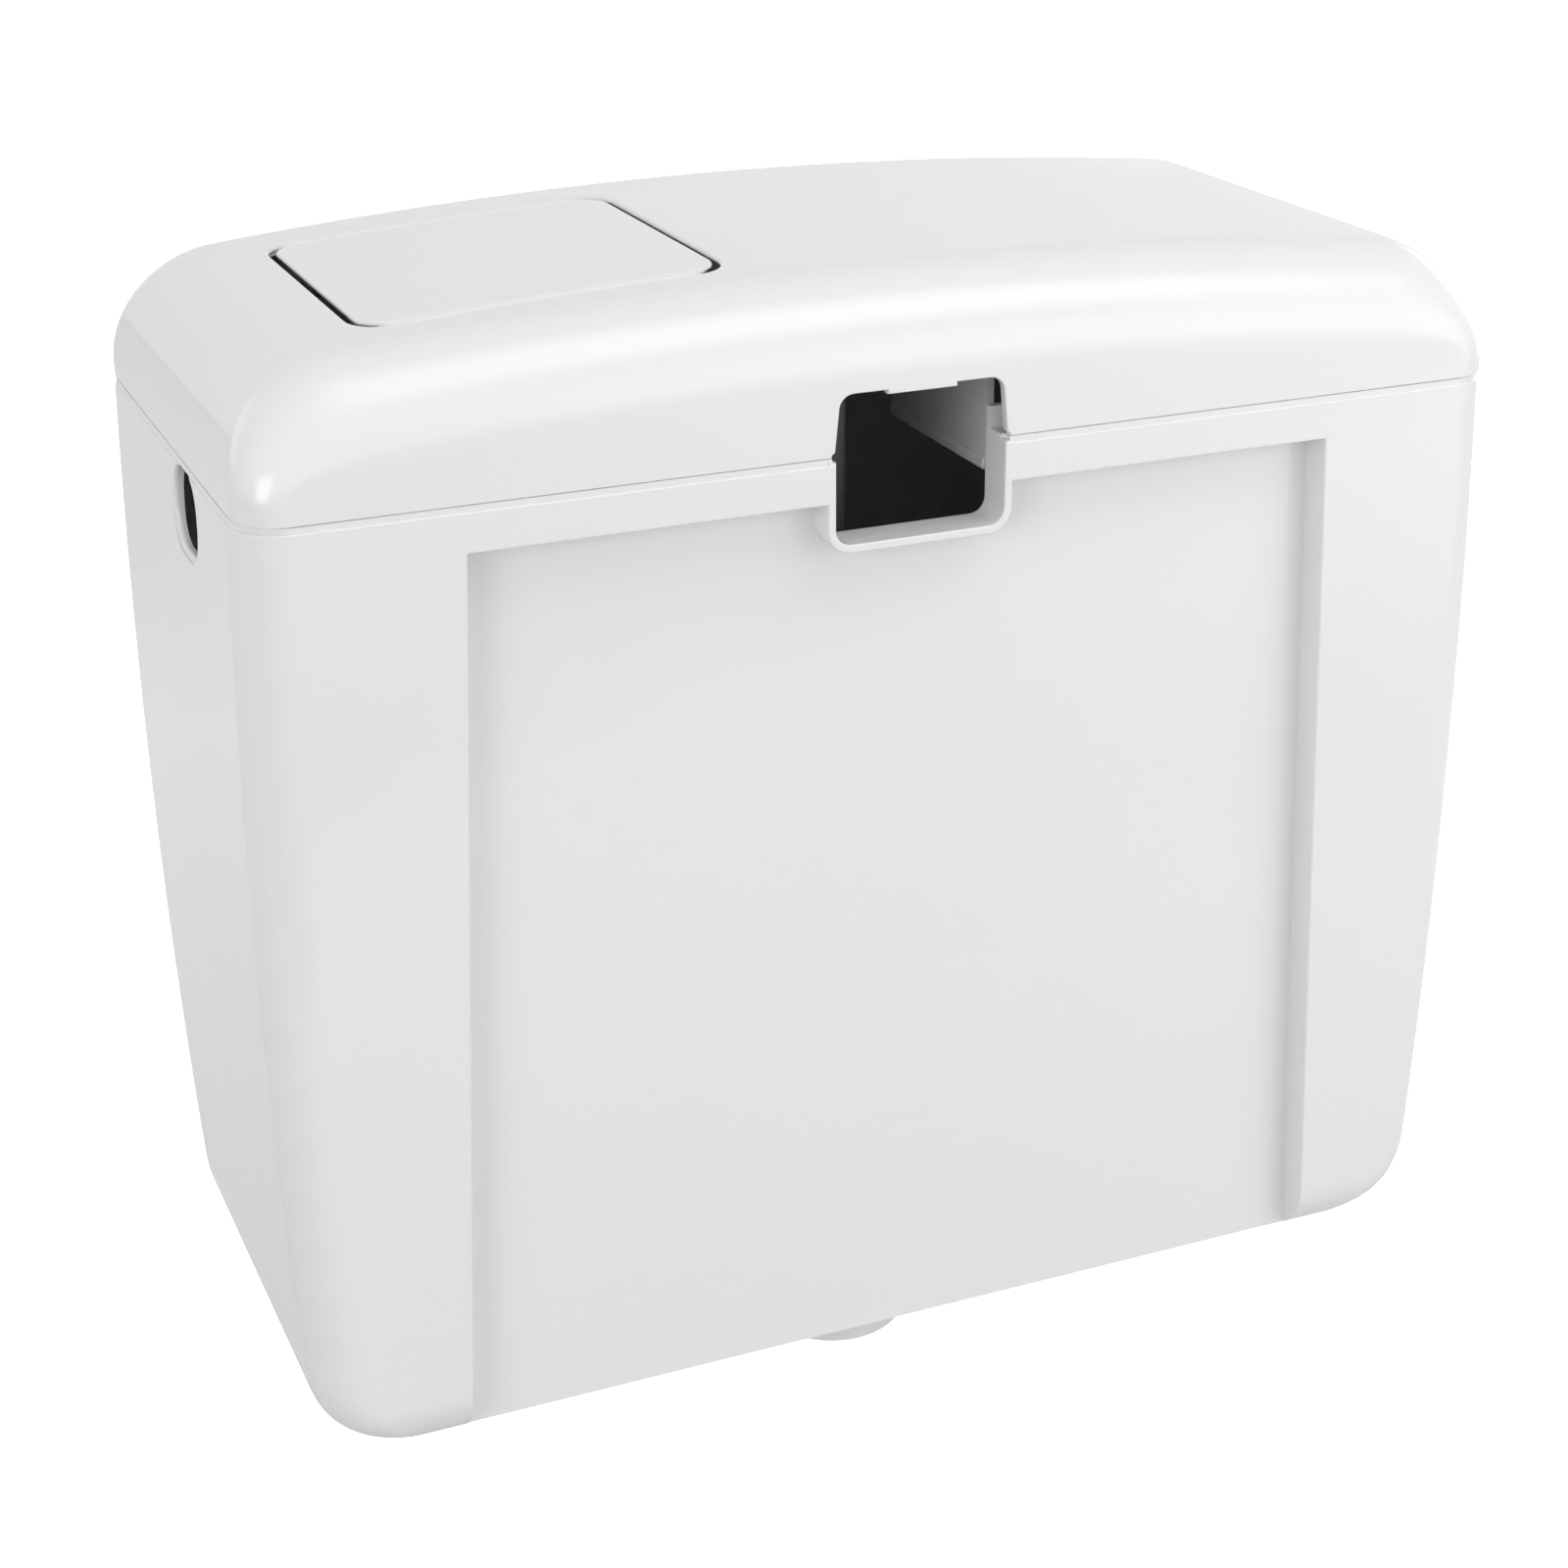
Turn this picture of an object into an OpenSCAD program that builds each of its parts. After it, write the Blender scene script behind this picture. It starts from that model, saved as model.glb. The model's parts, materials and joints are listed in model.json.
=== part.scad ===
// Wall-hung plastic toilet cistern with a lift-off lid and a rocking flush plate.
// Millimetres, +Z up. The wall is the plane Y = 0, the front faces -Y.
// X = 0 is the middle, and Z = 0 is the flat underside of the tank.

/* [Tank] */
// Width across the rim
tank_w = 401; // [390:1:420]
// Depth from the wall to the front at the rim
tank_d = 188; // [180:1:200]
// Height from the underside to the rim
tank_h = 307; // [300:1:320]
// Thickness of the tank's walls
wall = 3; // [2.5:0.1:3.5]
// How fast the sides swell out below the rim
swell = 13.7; // [8:0.1:16]
// How far each side has come in again at the foot
foot_in = 3.8; // [2:0.1:8]
// How far the front leans back at the foot
front_lean = 20; // [10:1:26]
// Radius of the two lower corners seen from the wall
foot_r = 32; // [26:1:38]
// Radius of the lower back edge
heel_r = 20; // [14:1:24]
// Radius of the lower front edge
toe_r = 12; // [8:1:20]
// Radius of the four upright corners
corner_r = 16; // [12:1:20]
// Height of the tongue that stands up inside the lid
tongue_h = 9; // [8:0.5:11]
// Thickness of the tongue
tongue_t = 2.6; // [2.2:0.1:3]
// How far the tongue stands in from the side
tongue_in = 4; // [3.8:0.1:5]

/* [Back] */
// Depth of the recess towards the wall
recess_d = 10.2; // [9:0.1:12]
// Width of the recess at its top
recess_w = 276; // [260:1:290]
// How much wider the recess is on each side at the underside
recess_flare = 13; // [0:0.5:16]
// Height of the strip above the recess
border_h = 13.2; // [11:0.1:16]
// Width of the rear water opening
port_w = 54.4; // [50:0.2:58]
// How far the opening reaches below the rim
port_drop = 26.7; // [24:0.1:30]
// How far the opening rises into the lid
port_rise = 18; // [15:0.5:20]
// Wall of the collar round the opening
collar_t = 2.6; // [2.2:0.1:3.2]

/* [Side openings] */
// Width of a side opening
side_w = 30; // [26:0.5:32]
// Height of a side opening
side_h = 24.5; // [22:0.5:26]
// Corner radius of a side opening
side_r = 10; // [8:0.5:11]
// Distance from the wall to the middle of a side opening
side_back = 71; // [68:1:76]
// Distance from the rim to the middle of a side opening
side_drop = 14.2; // [13.9:0.1:15]

/* [Lid] */
// Width of the lid
lid_w = 400; // [390:1:419]
// Height of the lid at its middle
lid_h = 50; // [47:0.5:54]
// Radius of the arched top
lid_r = 1610; // [1400:10:2000]
// Radius of the two rounded ends
lid_end_r = 37; // [32:1:42]
// Radius of the top edge along the wall
lid_back_r = 28; // [22:1:28]
// Radius of the top edge along the front
lid_front_r = 24; // [18:1:28]
// Radius of the lid's upright corners
lid_side_r = 14; // [12:1:18]
// Thickness of the lid
lid_wall = 2.8; // [2.4:0.1:3]
// Open seam between the lid and the tank
seam = 0.4; // [0.3:0.1:0.8]
// Half the distance between the lid's two webs
web_x = 36; // [34:1:40]
// How far the webs hang below the rim
web_drop = 19; // [14:1:22]
// Length of the webs
web_l = 68; // [50:1:80]

/* [Flush plate] */
// Width of the plate
plate_w = 107.2; // [104:0.2:109]
// Depth of the plate
plate_d = 111.6; // [108:0.2:112]
// Thickness of the plate
plate_t = 3.5; // [3.2:0.1:4]
// Corner radius of the plate
plate_r = 11; // [8:0.5:13]
// Middle of the plate from the middle of the lid
plate_x = 100.4; // [98:0.2:103]
// Middle of the plate from the wall
plate_back = 92; // [91:0.5:94]
// Gap at the two ends of the plate
end_gap = 1.8; // [1.5:0.1:2.4]
// Gap along the plate's long edges
side_gap = 0.7; // [0.5:0.1:1]
// Radius of the rocker's axle
axle_r = 2.5; // [2.3:0.1:2.8]

/* [Flush valve] */
// Outside radius of the outlet
outlet_r = 25; // [24:0.5:26]
// Wall of the outlet
outlet_t = 3; // [2.5:0.1:3.5]
// How far the outlet stands below the tank
outlet_drop = 25; // [22:1:30]
// Distance from the wall to the outlet's axis
outlet_back = 65; // [63:0.5:67]
// Radius of the lift tube
tube_r = 15; // [14:0.5:15.5]
// Height of the overflow edge above the underside
overflow_z = 225; // [215:1:235]
// Radius of the lift rod
rod_r = 4; // [3.5:0.1:4.2]

/* [Fill valve] */
// Outside radius of the inlet tail
tail_r = 8.33; // [7.8:0.01:8.5]
// Length of the lever from its axle to the float rod
lever_l = 40; // [39:0.5:42]
// How far the piston stands open while the float hangs down
open_gap = 4.8; // [4.8:0.1:6]
// Radius of the foam float
float_r = 22; // [18:1:23]
// Height of the float
float_h = 50; // [40:1:52]

/* [Hidden] */
$fn = 64;
slip = 0.3;
fit = 0.05;
touch = 0.02;
ledge_h = 4;
corner_n = 7;
valve_y = -outlet_back;
fill_y = -side_back;
fill_z = tank_h - side_drop;
lid_z = tank_h + seam;
back_in = recess_d + wall;
neck_in = tongue_in + tongue_t;
tongue_z = tank_h + tongue_h;
crown_z = lid_z + lid_h - lid_r;
end_x = lid_w / 2 - lid_end_r;
end_z = lid_h - lid_r + sqrt(pow(lid_r - lid_end_r, 2) - end_x * end_x);
end_a = atan2(end_z - lid_h + lid_r, end_x);
plate_y = -plate_back;
plate_top = crown_z + sqrt(lid_r * lid_r - plate_x * plate_x);
axle_drop = 8;
axle_reach = plate_d / 2 + side_gap + 9;
lever_drop = 16;
axle_z = plate_top - plate_t - axle_drop;
lever_z = axle_z - lever_drop;
tappet_x = 45;
screw_x = 25;
screw_ys = [valve_y, 2 * plate_y - valve_y];
nose_r = 3;
spool_r = 9.5;
beam_w = 22;
beam_t = 4;
washer_t = 2;
flange_t = 4;
flange_z = wall + washer_t;
seat_z = flange_z + flange_t + 5;
seal_t = 3;
disc_z = seat_z + slip + seal_t;
thread_r = outlet_r + 1.5;
nut_h = 8;
cage_r = outlet_r + 11.5;
cage_top = 150;
inner_x = -(tank_w / 2 - wall);
plate_out_x = inner_x + 20;
bracket_t = 4;
gasket_t = 1.5;
body_x = plate_out_x + bracket_t + gasket_t;
body_l = 47;
body_r = 11;
body_flange_r = 14;
chamber_l = 27;
chamber_r = 8;
way_r = 4;
piston_r = 5;
seal_h = 2.5;
cap_l = 12;
hinge_out = 5;
hinge_drop = 14;
ear_r = 5;
pin_r = 2;
body_end = body_x + body_l;
seat_x = body_end - chamber_l;
cap_end = body_end + cap_l;
hinge_x = cap_end + hinge_out;
hinge_z = fill_z - hinge_drop;
shank_r = tail_r + 0.5;
inlet_nut_h = 6;
drop_r = 6;
drop_in = 15;
drop_socket = 12.5;
drop_foot = 70;
drop_x = body_end - drop_in;
rod_x = hinge_x + lever_l;
float_rod_r = 2.5;
float_z = 170;
guide_z = 140;
guide_h = 8;
clip_h = 4;
rod_tail = 14;
buoy_z = 60;
buoy_h = 50;
notch_past = 4;

// Which piece to draw

// Points of a rounded rectangle, counter-clockwise from the right-hand side
function round_rect(x0, x1, y0, y1, r, n = corner_n) = [
    for (c = [[x1 - r, y1 - r, 0], [x0 + r, y1 - r, 90], [x0 + r, y0 + r, 180], [x1 - r, y0 + r, 270]])
        for (k = [0 : n])
            [c[0] + r * cos(c[2] + 90 * k / n), c[1] + r * sin(c[2] + 90 * k / n)]
];

// How far an arc of radius r has turned in at a depth d past its centre
function turn_in(r, d) = d <= 0 ? 0 : r - sqrt(max(r * r - d * d, 0));

// Half the tank's width at a height
function tank_half(z) =
    let (u = (tank_h - z) / tank_h)
    tank_w / 2 + swell * u - (swell + foot_in) * u * u;

// The tank's outline at a height, moved in by e
function tank_loop(z, e) =
    let (
        hw = tank_half(z) - e - turn_in(foot_r - e, foot_r - z),
        yb = -e - turn_in(heel_r - e, heel_r - z),
        yf = front_lean * (tank_h - z) / tank_h - tank_d + e + turn_in(toe_r - e, toe_r - z)
    )
    [for (p = round_rect(-hw, hw, yf, yb, corner_r - e)) [p[0], p[1], z]];

// Heights of the tank's outlines from its floor to a top
function tank_steps(e, top) = [
    for (k = [0 : 8]) e + (foot_r - e) * (1 - cos(90 * k / 8)),
    for (k = [1 : 7]) foot_r + (top - foot_r) * k / 7
];

// Right half of the lid's outline as [x, z, normal x, normal z]
lid_half = [
    [lid_w / 2, 0, 1, 0],
    for (k = [0 : 10]) let (a = end_a * k / 10)
        [end_x + lid_end_r * cos(a), end_z + lid_end_r * sin(a), cos(a), sin(a)],
    for (k = [1 : 6]) let (a = end_a + (90 - end_a) * k / 6)
        [lid_r * cos(a), lid_h - lid_r + lid_r * sin(a), cos(a), sin(a)]
];
lid_line = concat(
    lid_half,
    [for (k = [len(lid_half) - 2 : -1 : 0]) let (p = lid_half[k]) [-p[0], p[1], -p[2], p[3]]]
);

// Radius of the lid's edge where the outline faces up by n
function edge_r(n, top_r) = lid_side_r + (top_r - lid_side_r) * n * n * (3 - 2 * n);

// The lid's outline part of the way round an edge, moved in by e
function lid_loop(a, e, back) = [
    for (p = lid_line)
        let (
            r = edge_r(max(p[3], 0), back ? lid_back_r : lid_front_r) - e,
            in = e + r * (1 - sin(a)),
            y = e + r * (1 - cos(a)),
            low = p[1] == 0 && e > 0 ? -1 : 0
        )
        [p[0] - p[2] * in, back ? -y : y - tank_d, lid_z + p[1] - p[3] * in + low]
];

// Height that a carrier screw reaches inside the plate
function screw_top(s) =
    crown_z + sqrt(lid_r * lid_r - pow(plate_x + s * screw_x, 2)) - plate_t + 1.8;

// Closed solid through a stack of outlines
module loft(loops) {
    n = len(loops[0]);
    m = len(loops);
    sides = [
        for (j = [0 : m - 2])
            for (i = [0 : n - 1])
                let (a = j * n + i, b = j * n + (i + 1) % n)
                each [[a, a + n, b + n], [a, b + n, b]]
    ];
    foot = [for (i = [0 : n - 1]) i];
    head = [for (i = [n - 1 : -1 : 0]) (m - 1) * n + i];
    polyhedron([for (l = loops) each l], concat(sides, [foot, head]));
}

// Prism of a shape drawn in X and Z, running from y towards the front
module along_y(y, depth) {
    translate([0, y, 0])
        rotate([90, 0, 0])
            linear_extrude(depth)
                children();
}

// Prism of a shape drawn in Y and Z, running from x to the right
module along_x(x, length) {
    translate([x, 0, 0])
        rotate([90, 0, 90])
            linear_extrude(length)
                children();
}

// Cylinder along X
module rod_along_x(r, x0, x1, y, z) {
    translate([x0, y, z])
        rotate([0, 90, 0])
            cylinder(r = r, h = x1 - x0);
}

// Cylinder along Y, from y0 up to y1
module rod_along_y(r, x, y0, y1, z) {
    translate([x, y1, z])
        rotate([90, 0, 0])
            cylinder(r = r, h = y1 - y0);
}

// Upright ring
module ring(x, y, z0, z1, r_in, r_out) {
    translate([x, y, z0])
        difference() {
            cylinder(r = r_out, h = z1 - z0);
            translate([0, 0, -1])
                cylinder(r = r_in, h = z1 - z0 + 2);
        }
}

// Box between two corners
module box(x0, x1, y0, y1, z0, z1) {
    translate([x0, y0, z0])
        cube([x1 - x0, y1 - y0, z1 - z0]);
}

// Recess outline, grown by e
module recess_shape(e) {
    top = tank_h - border_h + e;
    half = recess_w / 2 + e;
    polygon([
        [half, top],
        [-half, top],
        [-half - recess_flare, -1],
        [half + recess_flare, -1]
    ]);
}

// Water opening outline below a given top, grown by e
module port_shape(e, top, r) {
    polygon(concat(
        [[port_w / 2 + e, top], [-port_w / 2 - e, top]],
        [for (k = [0 : 6]) let (a = 180 + 15 * k)
            [-port_w / 2 - e + r + r * cos(a), tank_h - port_drop - e + r + r * sin(a)]],
        [for (k = [0 : 6]) let (a = 270 + 15 * k)
            [port_w / 2 + e - r + r * cos(a), tank_h - port_drop - e + r + r * sin(a)]]
    ));
}

// Cheeks on the tank's side wall that hold the fill valve's bracket
module bracket_cheeks() {
    for (s = [-1, 1])
        difference() {
            box(inner_x - 1.6, plate_out_x + bracket_t + 5,
                fill_y + s * 20 - 2.5, fill_y + s * 20 + 2.5, fill_z - 30, fill_z + 7);
            box(plate_out_x - slip / 2, plate_out_x + bracket_t + slip / 2,
                fill_y + s * 18.6 - 1.1 - slip, fill_y + s * 18.6 + 1.1 + slip, fill_z - 24, fill_z + 9);
        }
}

module tank_shell() {
    cavity_top = tank_h - ledge_h;
    neck = round_rect(-tank_w / 2 + neck_in, tank_w / 2 - neck_in,
        -tank_d + neck_in, -back_in, corner_r - neck_in + 2);
    tongue = round_rect(-tank_w / 2 + tongue_in, tank_w / 2 - tongue_in,
        -tank_d + tongue_in, -back_in + tongue_t, corner_r - tongue_in + 1);
    color("white")
        difference() {
            union() {
                difference() {
                    loft([for (z = tank_steps(0, tank_h)) tank_loop(z, 0)]);
                    difference() {
                        loft([for (z = tank_steps(wall, cavity_top)) tank_loop(z, wall)]);
                        along_y(1, back_in + 1)
                            recess_shape(wall);
                    }
                    along_y(1, recess_d + 1)
                        recess_shape(0);
                    translate([0, 0, cavity_top - 0.5])
                        linear_extrude(ledge_h + 2)
                            polygon(neck);
                }
                translate([0, 0, tank_h - 1])
                    linear_extrude(tongue_h + 1)
                        difference() {
                            polygon(tongue);
                            polygon(neck);
                        }
                along_y(0, back_in)
                    port_shape(collar_t, tank_h, 7.6);
                bracket_cheeks();
            }
            along_y(1, back_in + 2)
                port_shape(0, tongue_z + 1, 5);
            for (s = [-1, 1])
                along_x(s * (tank_w / 2 - 1) - 9, 18)
                    polygon(round_rect(fill_y - side_w / 2, fill_y + side_w / 2,
                        fill_z - side_h / 2, fill_z + side_h / 2, side_r));
            translate([0, valve_y, -1])
                cylinder(r = thread_r + slip, h = wall + 2);
            box(plate_x - beam_w / 2 - slip, plate_x + beam_w / 2 + slip,
                -tank_d, 0, tongue_z - beam_t - slip, tongue_z + 1);
        }
}

// Stack of lid outlines, moved in by e
module lid_block(e) {
    loft(concat(
        [for (k = [0 : 6]) lid_loop(15 * k, e, true)],
        [for (k = [6 : -1 : 0]) lid_loop(15 * k, e, false)]
    ));
}

// Points along the lid's arched top less t, from x0 to x1
function arch_line(x0, x1, t, n = 12) = [
    for (k = [0 : n])
        let (x = x0 + (x1 - x0) * k / n)
        [x, crown_z + sqrt(pow(lid_r - t, 2) - x * x)]
];

// Shape from a flat bottom up to the underside of the arch, less t
module under_arch(x0, x1, z, t) {
    polygon(concat([[x1, z], [x0, z]], arch_line(x0, x1, t)));
}

module lid_cover() {
    web_top = lid_z + lid_h - lid_wall / 2 - web_x * web_x / (2 * lid_r);
    lug_top = plate_top - lid_wall / 2;
    hole_w = plate_w / 2 + end_gap;
    hole_d = plate_d / 2 + side_gap;
    color("white")
        difference() {
            union() {
                difference() {
                    lid_block(0);
                    lid_block(lid_wall);
                }
                for (s = [-1, 1]) {
                    box(s * web_x - 1.1, s * web_x + 1.1, -lid_back_r - web_l, -lid_back_r,
                        tank_h - web_drop, web_top);
                    box(s * web_x - 1.8, s * web_x + 1.8, -lid_back_r - web_l, -lid_back_r,
                        tank_h - web_drop, tank_h - web_drop + 3);
                }
                for (y = [plate_y + hole_d + 2.5, plate_y - hole_d - 7.5])
                    box(plate_x - 7, plate_x + 7, y, y + 5, axle_z - 6, lug_top);
            }
            along_y(1, lid_wall + notch_past)
                polygon([
                    [port_w / 2 + 0.6, lid_z - 1],
                    [port_w / 2 - 0.8, lid_z + port_rise - 5],
                    [port_w / 2 - 2.2, lid_z + port_rise - 1.5],
                    [port_w / 2 - 5.8, lid_z + port_rise],
                    [11, lid_z + port_rise],
                    [11, lid_z + port_rise - 1.3],
                    [-11, lid_z + port_rise - 1.3],
                    [-11, lid_z + port_rise],
                    [5.8 - port_w / 2, lid_z + port_rise],
                    [2.2 - port_w / 2, lid_z + port_rise - 1.5],
                    [0.8 - port_w / 2, lid_z + port_rise - 5],
                    [-port_w / 2 - 0.6, lid_z - 1]
                ]);
            translate([0, 0, axle_z - 1])
                linear_extrude(40)
                    polygon(round_rect(plate_x - hole_w, plate_x + hole_w,
                        plate_y - hole_d, plate_y + hole_d, plate_r + side_gap));
            rod_along_y(axle_r + fit, plate_x, plate_y - axle_reach - 1, plate_y + axle_reach + 1, axle_z);
            box(web_x - 4, web_x + 4, valve_y - 16, valve_y + 16,
                tank_h - web_drop - 1, lever_z + 18);
        }
}

module flush_plate() {
    x0 = plate_x - plate_w / 2;
    x1 = plate_x + plate_w / 2;
    color("white")
        difference() {
            intersection() {
                translate([0, 0, axle_z - 20])
                    linear_extrude(60)
                        polygon(round_rect(x0, x1, plate_y - plate_d / 2, plate_y + plate_d / 2, plate_r));
                along_y(plate_y + plate_d / 2 + 1, plate_d + 2)
                    difference() {
                        under_arch(x0 - 1, x1 + 1, axle_z - 10, 0);
                        under_arch(x0 - 2, x1 + 2, axle_z - 11, plate_t);
                    }
            }
            for (s = [-1, 1])
                for (y = screw_ys)
                    translate([plate_x + s * screw_x, y, axle_z - 2])
                        cylinder(r = 1.4 + touch, h = screw_top(s) + 0.3 - axle_z + 2);
        }
}

module rocker_carrier() {
    half = plate_d / 2 - 1.5;
    color("gainsboro")
        difference() {
            union() {
                rod_along_y(5.5, plate_x, plate_y - half, plate_y + half, axle_z);
                along_y(plate_y + half, 2 * half)
                    under_arch(plate_x - 4, plate_x + 4, axle_z, plate_t + fit);
                for (y = screw_ys)
                    along_y(y + 7, 14)
                        under_arch(plate_x - 49, plate_x + 49, axle_z - 1.5, plate_t + fit);
                for (s = [-1, 1])
                    translate([plate_x + s * tappet_x, valve_y, lever_z + 8.5]) {
                        cylinder(r = 4, h = axle_z - lever_z - 6);
                        sphere(r = 4);
                    }
            }
            rod_along_y(axle_r + touch, plate_x, plate_y - axle_reach, plate_y + axle_reach, axle_z);
            for (s = [-1, 1])
                for (y = screw_ys)
                    translate([plate_x + s * screw_x, y, axle_z - 3])
                        cylinder(r = 1.7, h = 20);
        }
}

module rocker_axle() {
    color("silver")
        rod_along_y(axle_r, plate_x, plate_y - axle_reach, plate_y + axle_reach, axle_z);
}

module carrier_screws() {
    head_z = axle_z - 1.5 - touch;
    color("silver")
        for (s = [-1, 1])
            for (y = screw_ys)
                translate([plate_x + s * screw_x, y, 0]) {
                    translate([0, 0, head_z - 1.8])
                        cylinder(r = 2.8, h = 1.8);
                    translate([0, 0, head_z - 0.5])
                        cylinder(r = 1.4, h = screw_top(s) - head_z + 0.5);
                }
}

module lever_bridge() {
    y0 = -tank_d + tongue_in;
    y1 = -back_in + tongue_t;
    x0 = plate_x - beam_w / 2;
    x1 = plate_x + beam_w / 2;
    color("gainsboro")
        difference() {
            union() {
                box(x0, x1, y0, y1, tongue_z - beam_t, tongue_z);
                box(x0, x1, -back_in - slip - 3, -back_in - slip, tongue_z - 14, tongue_z);
                box(x0, x1, -tank_d + neck_in + slip, -tank_d + neck_in + slip + 3,
                    tongue_z - 14, tongue_z);
                for (s = [-1, 1]) {
                    box(plate_x + s * 9 - 1, plate_x + s * 9 + 1, -tank_d + neck_in + slip + 1,
                        -back_in - slip - 1, tongue_z - 10, tongue_z - 1);
                    box(plate_x - 8, plate_x + 8, valve_y + s * 8.25 - 2.25, valve_y + s * 8.25 + 2.25,
                        tongue_z - 1, lever_z);
                    rod_along_y(8, plate_x, valve_y + s * 8.25 - 2.25, valve_y + s * 8.25 + 2.25, lever_z);
                }
            }
            rod_along_y(axle_r + touch, plate_x, valve_y - 20, valve_y + 20, lever_z);
        }
}

module lever_pin() {
    color("silver")
        rod_along_y(axle_r, plate_x, valve_y - 12.5, valve_y + 12.5, lever_z);
}

module lift_lever() {
    color("lightsteelblue")
        difference() {
            union() {
                rod_along_y(7, plate_x, valve_y - 5, valve_y + 5, lever_z);
                box(16, plate_x + tappet_x + 6, valve_y - 5, valve_y + 5, lever_z - 4, lever_z + 4);
                box(13, 19, valve_y - 12, valve_y + 12, lever_z - 4, lever_z + 4);
                for (s = [-1, 1]) {
                    box(0, 14, valve_y + s * 9.25 - 2.75, valve_y + s * 9.25 + 2.75,
                        lever_z - 1.6, lever_z + 1.6);
                    rod_along_y(nose_r, 0, valve_y + s * 9.25 - 2.75, valve_y + s * 9.25 + 2.75, lever_z);
                }
            }
            rod_along_y(axle_r + fit, plate_x, valve_y - 20, valve_y + 20, lever_z);
        }
}

module outlet_spigot() {
    color("white")
        translate([0, valve_y, 0])
            difference() {
                union() {
                    translate([0, 0, -outlet_drop])
                        cylinder(r1 = outlet_r - 1, r2 = outlet_r, h = 1);
                    translate([0, 0, 1 - outlet_drop])
                        cylinder(r = outlet_r, h = outlet_drop - nut_h);
                    translate([0, 0, -nut_h - 1])
                        cylinder(r = thread_r, h = nut_h + 1 + flange_z + 1);
                    translate([0, 0, flange_z])
                        cylinder(r = cage_r + 0.5, h = flange_t);
                    translate([0, 0, flange_z])
                        cylinder(r = outlet_r + 2, h = seat_z - flange_z);
                }
                translate([0, 0, -outlet_drop - 1])
                    cylinder(r = outlet_r - outlet_t, h = outlet_drop + seat_z + 2);
            }
}

module outlet_washer() {
    color("dimgray")
        ring(0, valve_y, wall + touch, flange_z - touch, thread_r + fit, cage_r - 2);
}

module outlet_nut() {
    color("white")
        translate([0, valve_y, -nut_h])
            difference() {
                union() {
                    cylinder(r = thread_r + 5, h = nut_h - touch);
                    for (k = [0 : 7])
                        rotate([0, 0, 45 * k])
                            translate([thread_r + 4, -2, 0])
                                cube([3, 4, nut_h - touch]);
                }
                translate([0, 0, -1])
                    cylinder(r = thread_r + fit, h = nut_h + 2);
            }
}

module valve_cage() {
    base_z = flange_z + flange_t + touch;
    color("gainsboro")
        translate([0, valve_y, 0]) {
            ring(0, 0, base_z, base_z + 4, cage_r - 5, cage_r);
            for (k = [0 : 3])
                rotate([0, 0, 45 + 90 * k])
                    translate([cage_r - 4.5, -4, base_z + 2])
                        cube([4, 8, cage_top - base_z]);
            difference() {
                union() {
                    ring(0, 0, cage_top, cage_top + 5, cage_r - 6, cage_r);
                    ring(0, 0, cage_top - 8, cage_top + 12, tube_r + slip, tube_r + 3);
                    for (k = [0 : 1])
                        rotate([0, 0, 45 + 90 * k])
                            translate([3 - cage_r, -3, cage_top])
                                cube([2 * cage_r - 6, 6, 5]);
                }
                translate([0, 0, cage_top - 10])
                    cylinder(r = tube_r + slip, h = 30);
            }
        }
}

module seal_carrier() {
    color("gainsboro")
        translate([0, valve_y, 0]) {
            ring(0, 0, disc_z + touch, disc_z + 4, tube_r - 2, outlet_r + 3);
            ring(0, 0, disc_z + 3.5, disc_z + 20, tube_r + fit, tube_r + 3);
        }
}

module valve_seal() {
    color("dimgray")
        ring(0, valve_y, seat_z + slip, disc_z, tube_r - 1, outlet_r + 4);
}

module seal_ring() {
    color("gainsboro")
        translate([0, valve_y, 0]) {
            ring(0, 0, seat_z + slip - 3, seat_z + slip - touch, tube_r - 2, tube_r + 4);
            ring(0, 0, seat_z + slip - 1, disc_z - touch, tube_r - 2, tube_r - 1.1);
        }
}

module lift_tube() {
    color("white")
        ring(0, valve_y, disc_z + 4 + touch, overflow_z, tube_r - 2, tube_r);
}

module valve_float() {
    color("lightsteelblue")
        ring(0, valve_y, buoy_z, buoy_z + buoy_h, tube_r + fit, cage_r - 7.5);
}

module lift_rod() {
    color("white")
        translate([0, valve_y, 0]) {
            ring(0, 0, overflow_z - 12, overflow_z + 8, tube_r + fit, tube_r + 2.5);
            translate([-tube_r - 1.5, -3, overflow_z + 2])
                cube([2 * tube_r + 3, 6, 6]);
            translate([0, 0, overflow_z + 5])
                cylinder(r = rod_r, h = lever_z + 12 - overflow_z - 5);
        }
}

module lift_head() {
    gap = nose_r + 0.4;
    color("lightsteelblue")
        translate([0, valve_y, lever_z])
            difference() {
                union() {
                    translate([0, 0, -gap - 3])
                        cylinder(r = spool_r, h = 3);
                    translate([0, 0, -gap - 1])
                        cylinder(r = rod_r + 1.5, h = 2 * gap + 2);
                    translate([0, 0, gap])
                        cylinder(r = spool_r, h = 3);
                }
                translate([0, 0, -20])
                    cylinder(r = rod_r + touch, h = 40);
            }
}

module head_nut() {
    color("silver")
        translate([0, valve_y, lever_z + nose_r + 3.4 + touch])
            difference() {
                cylinder(r = rod_r + 3.5, h = 3.6, $fn = 6);
                translate([0, 0, -1])
                    cylinder(r = rod_r + touch, h = 6);
            }
}

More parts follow.
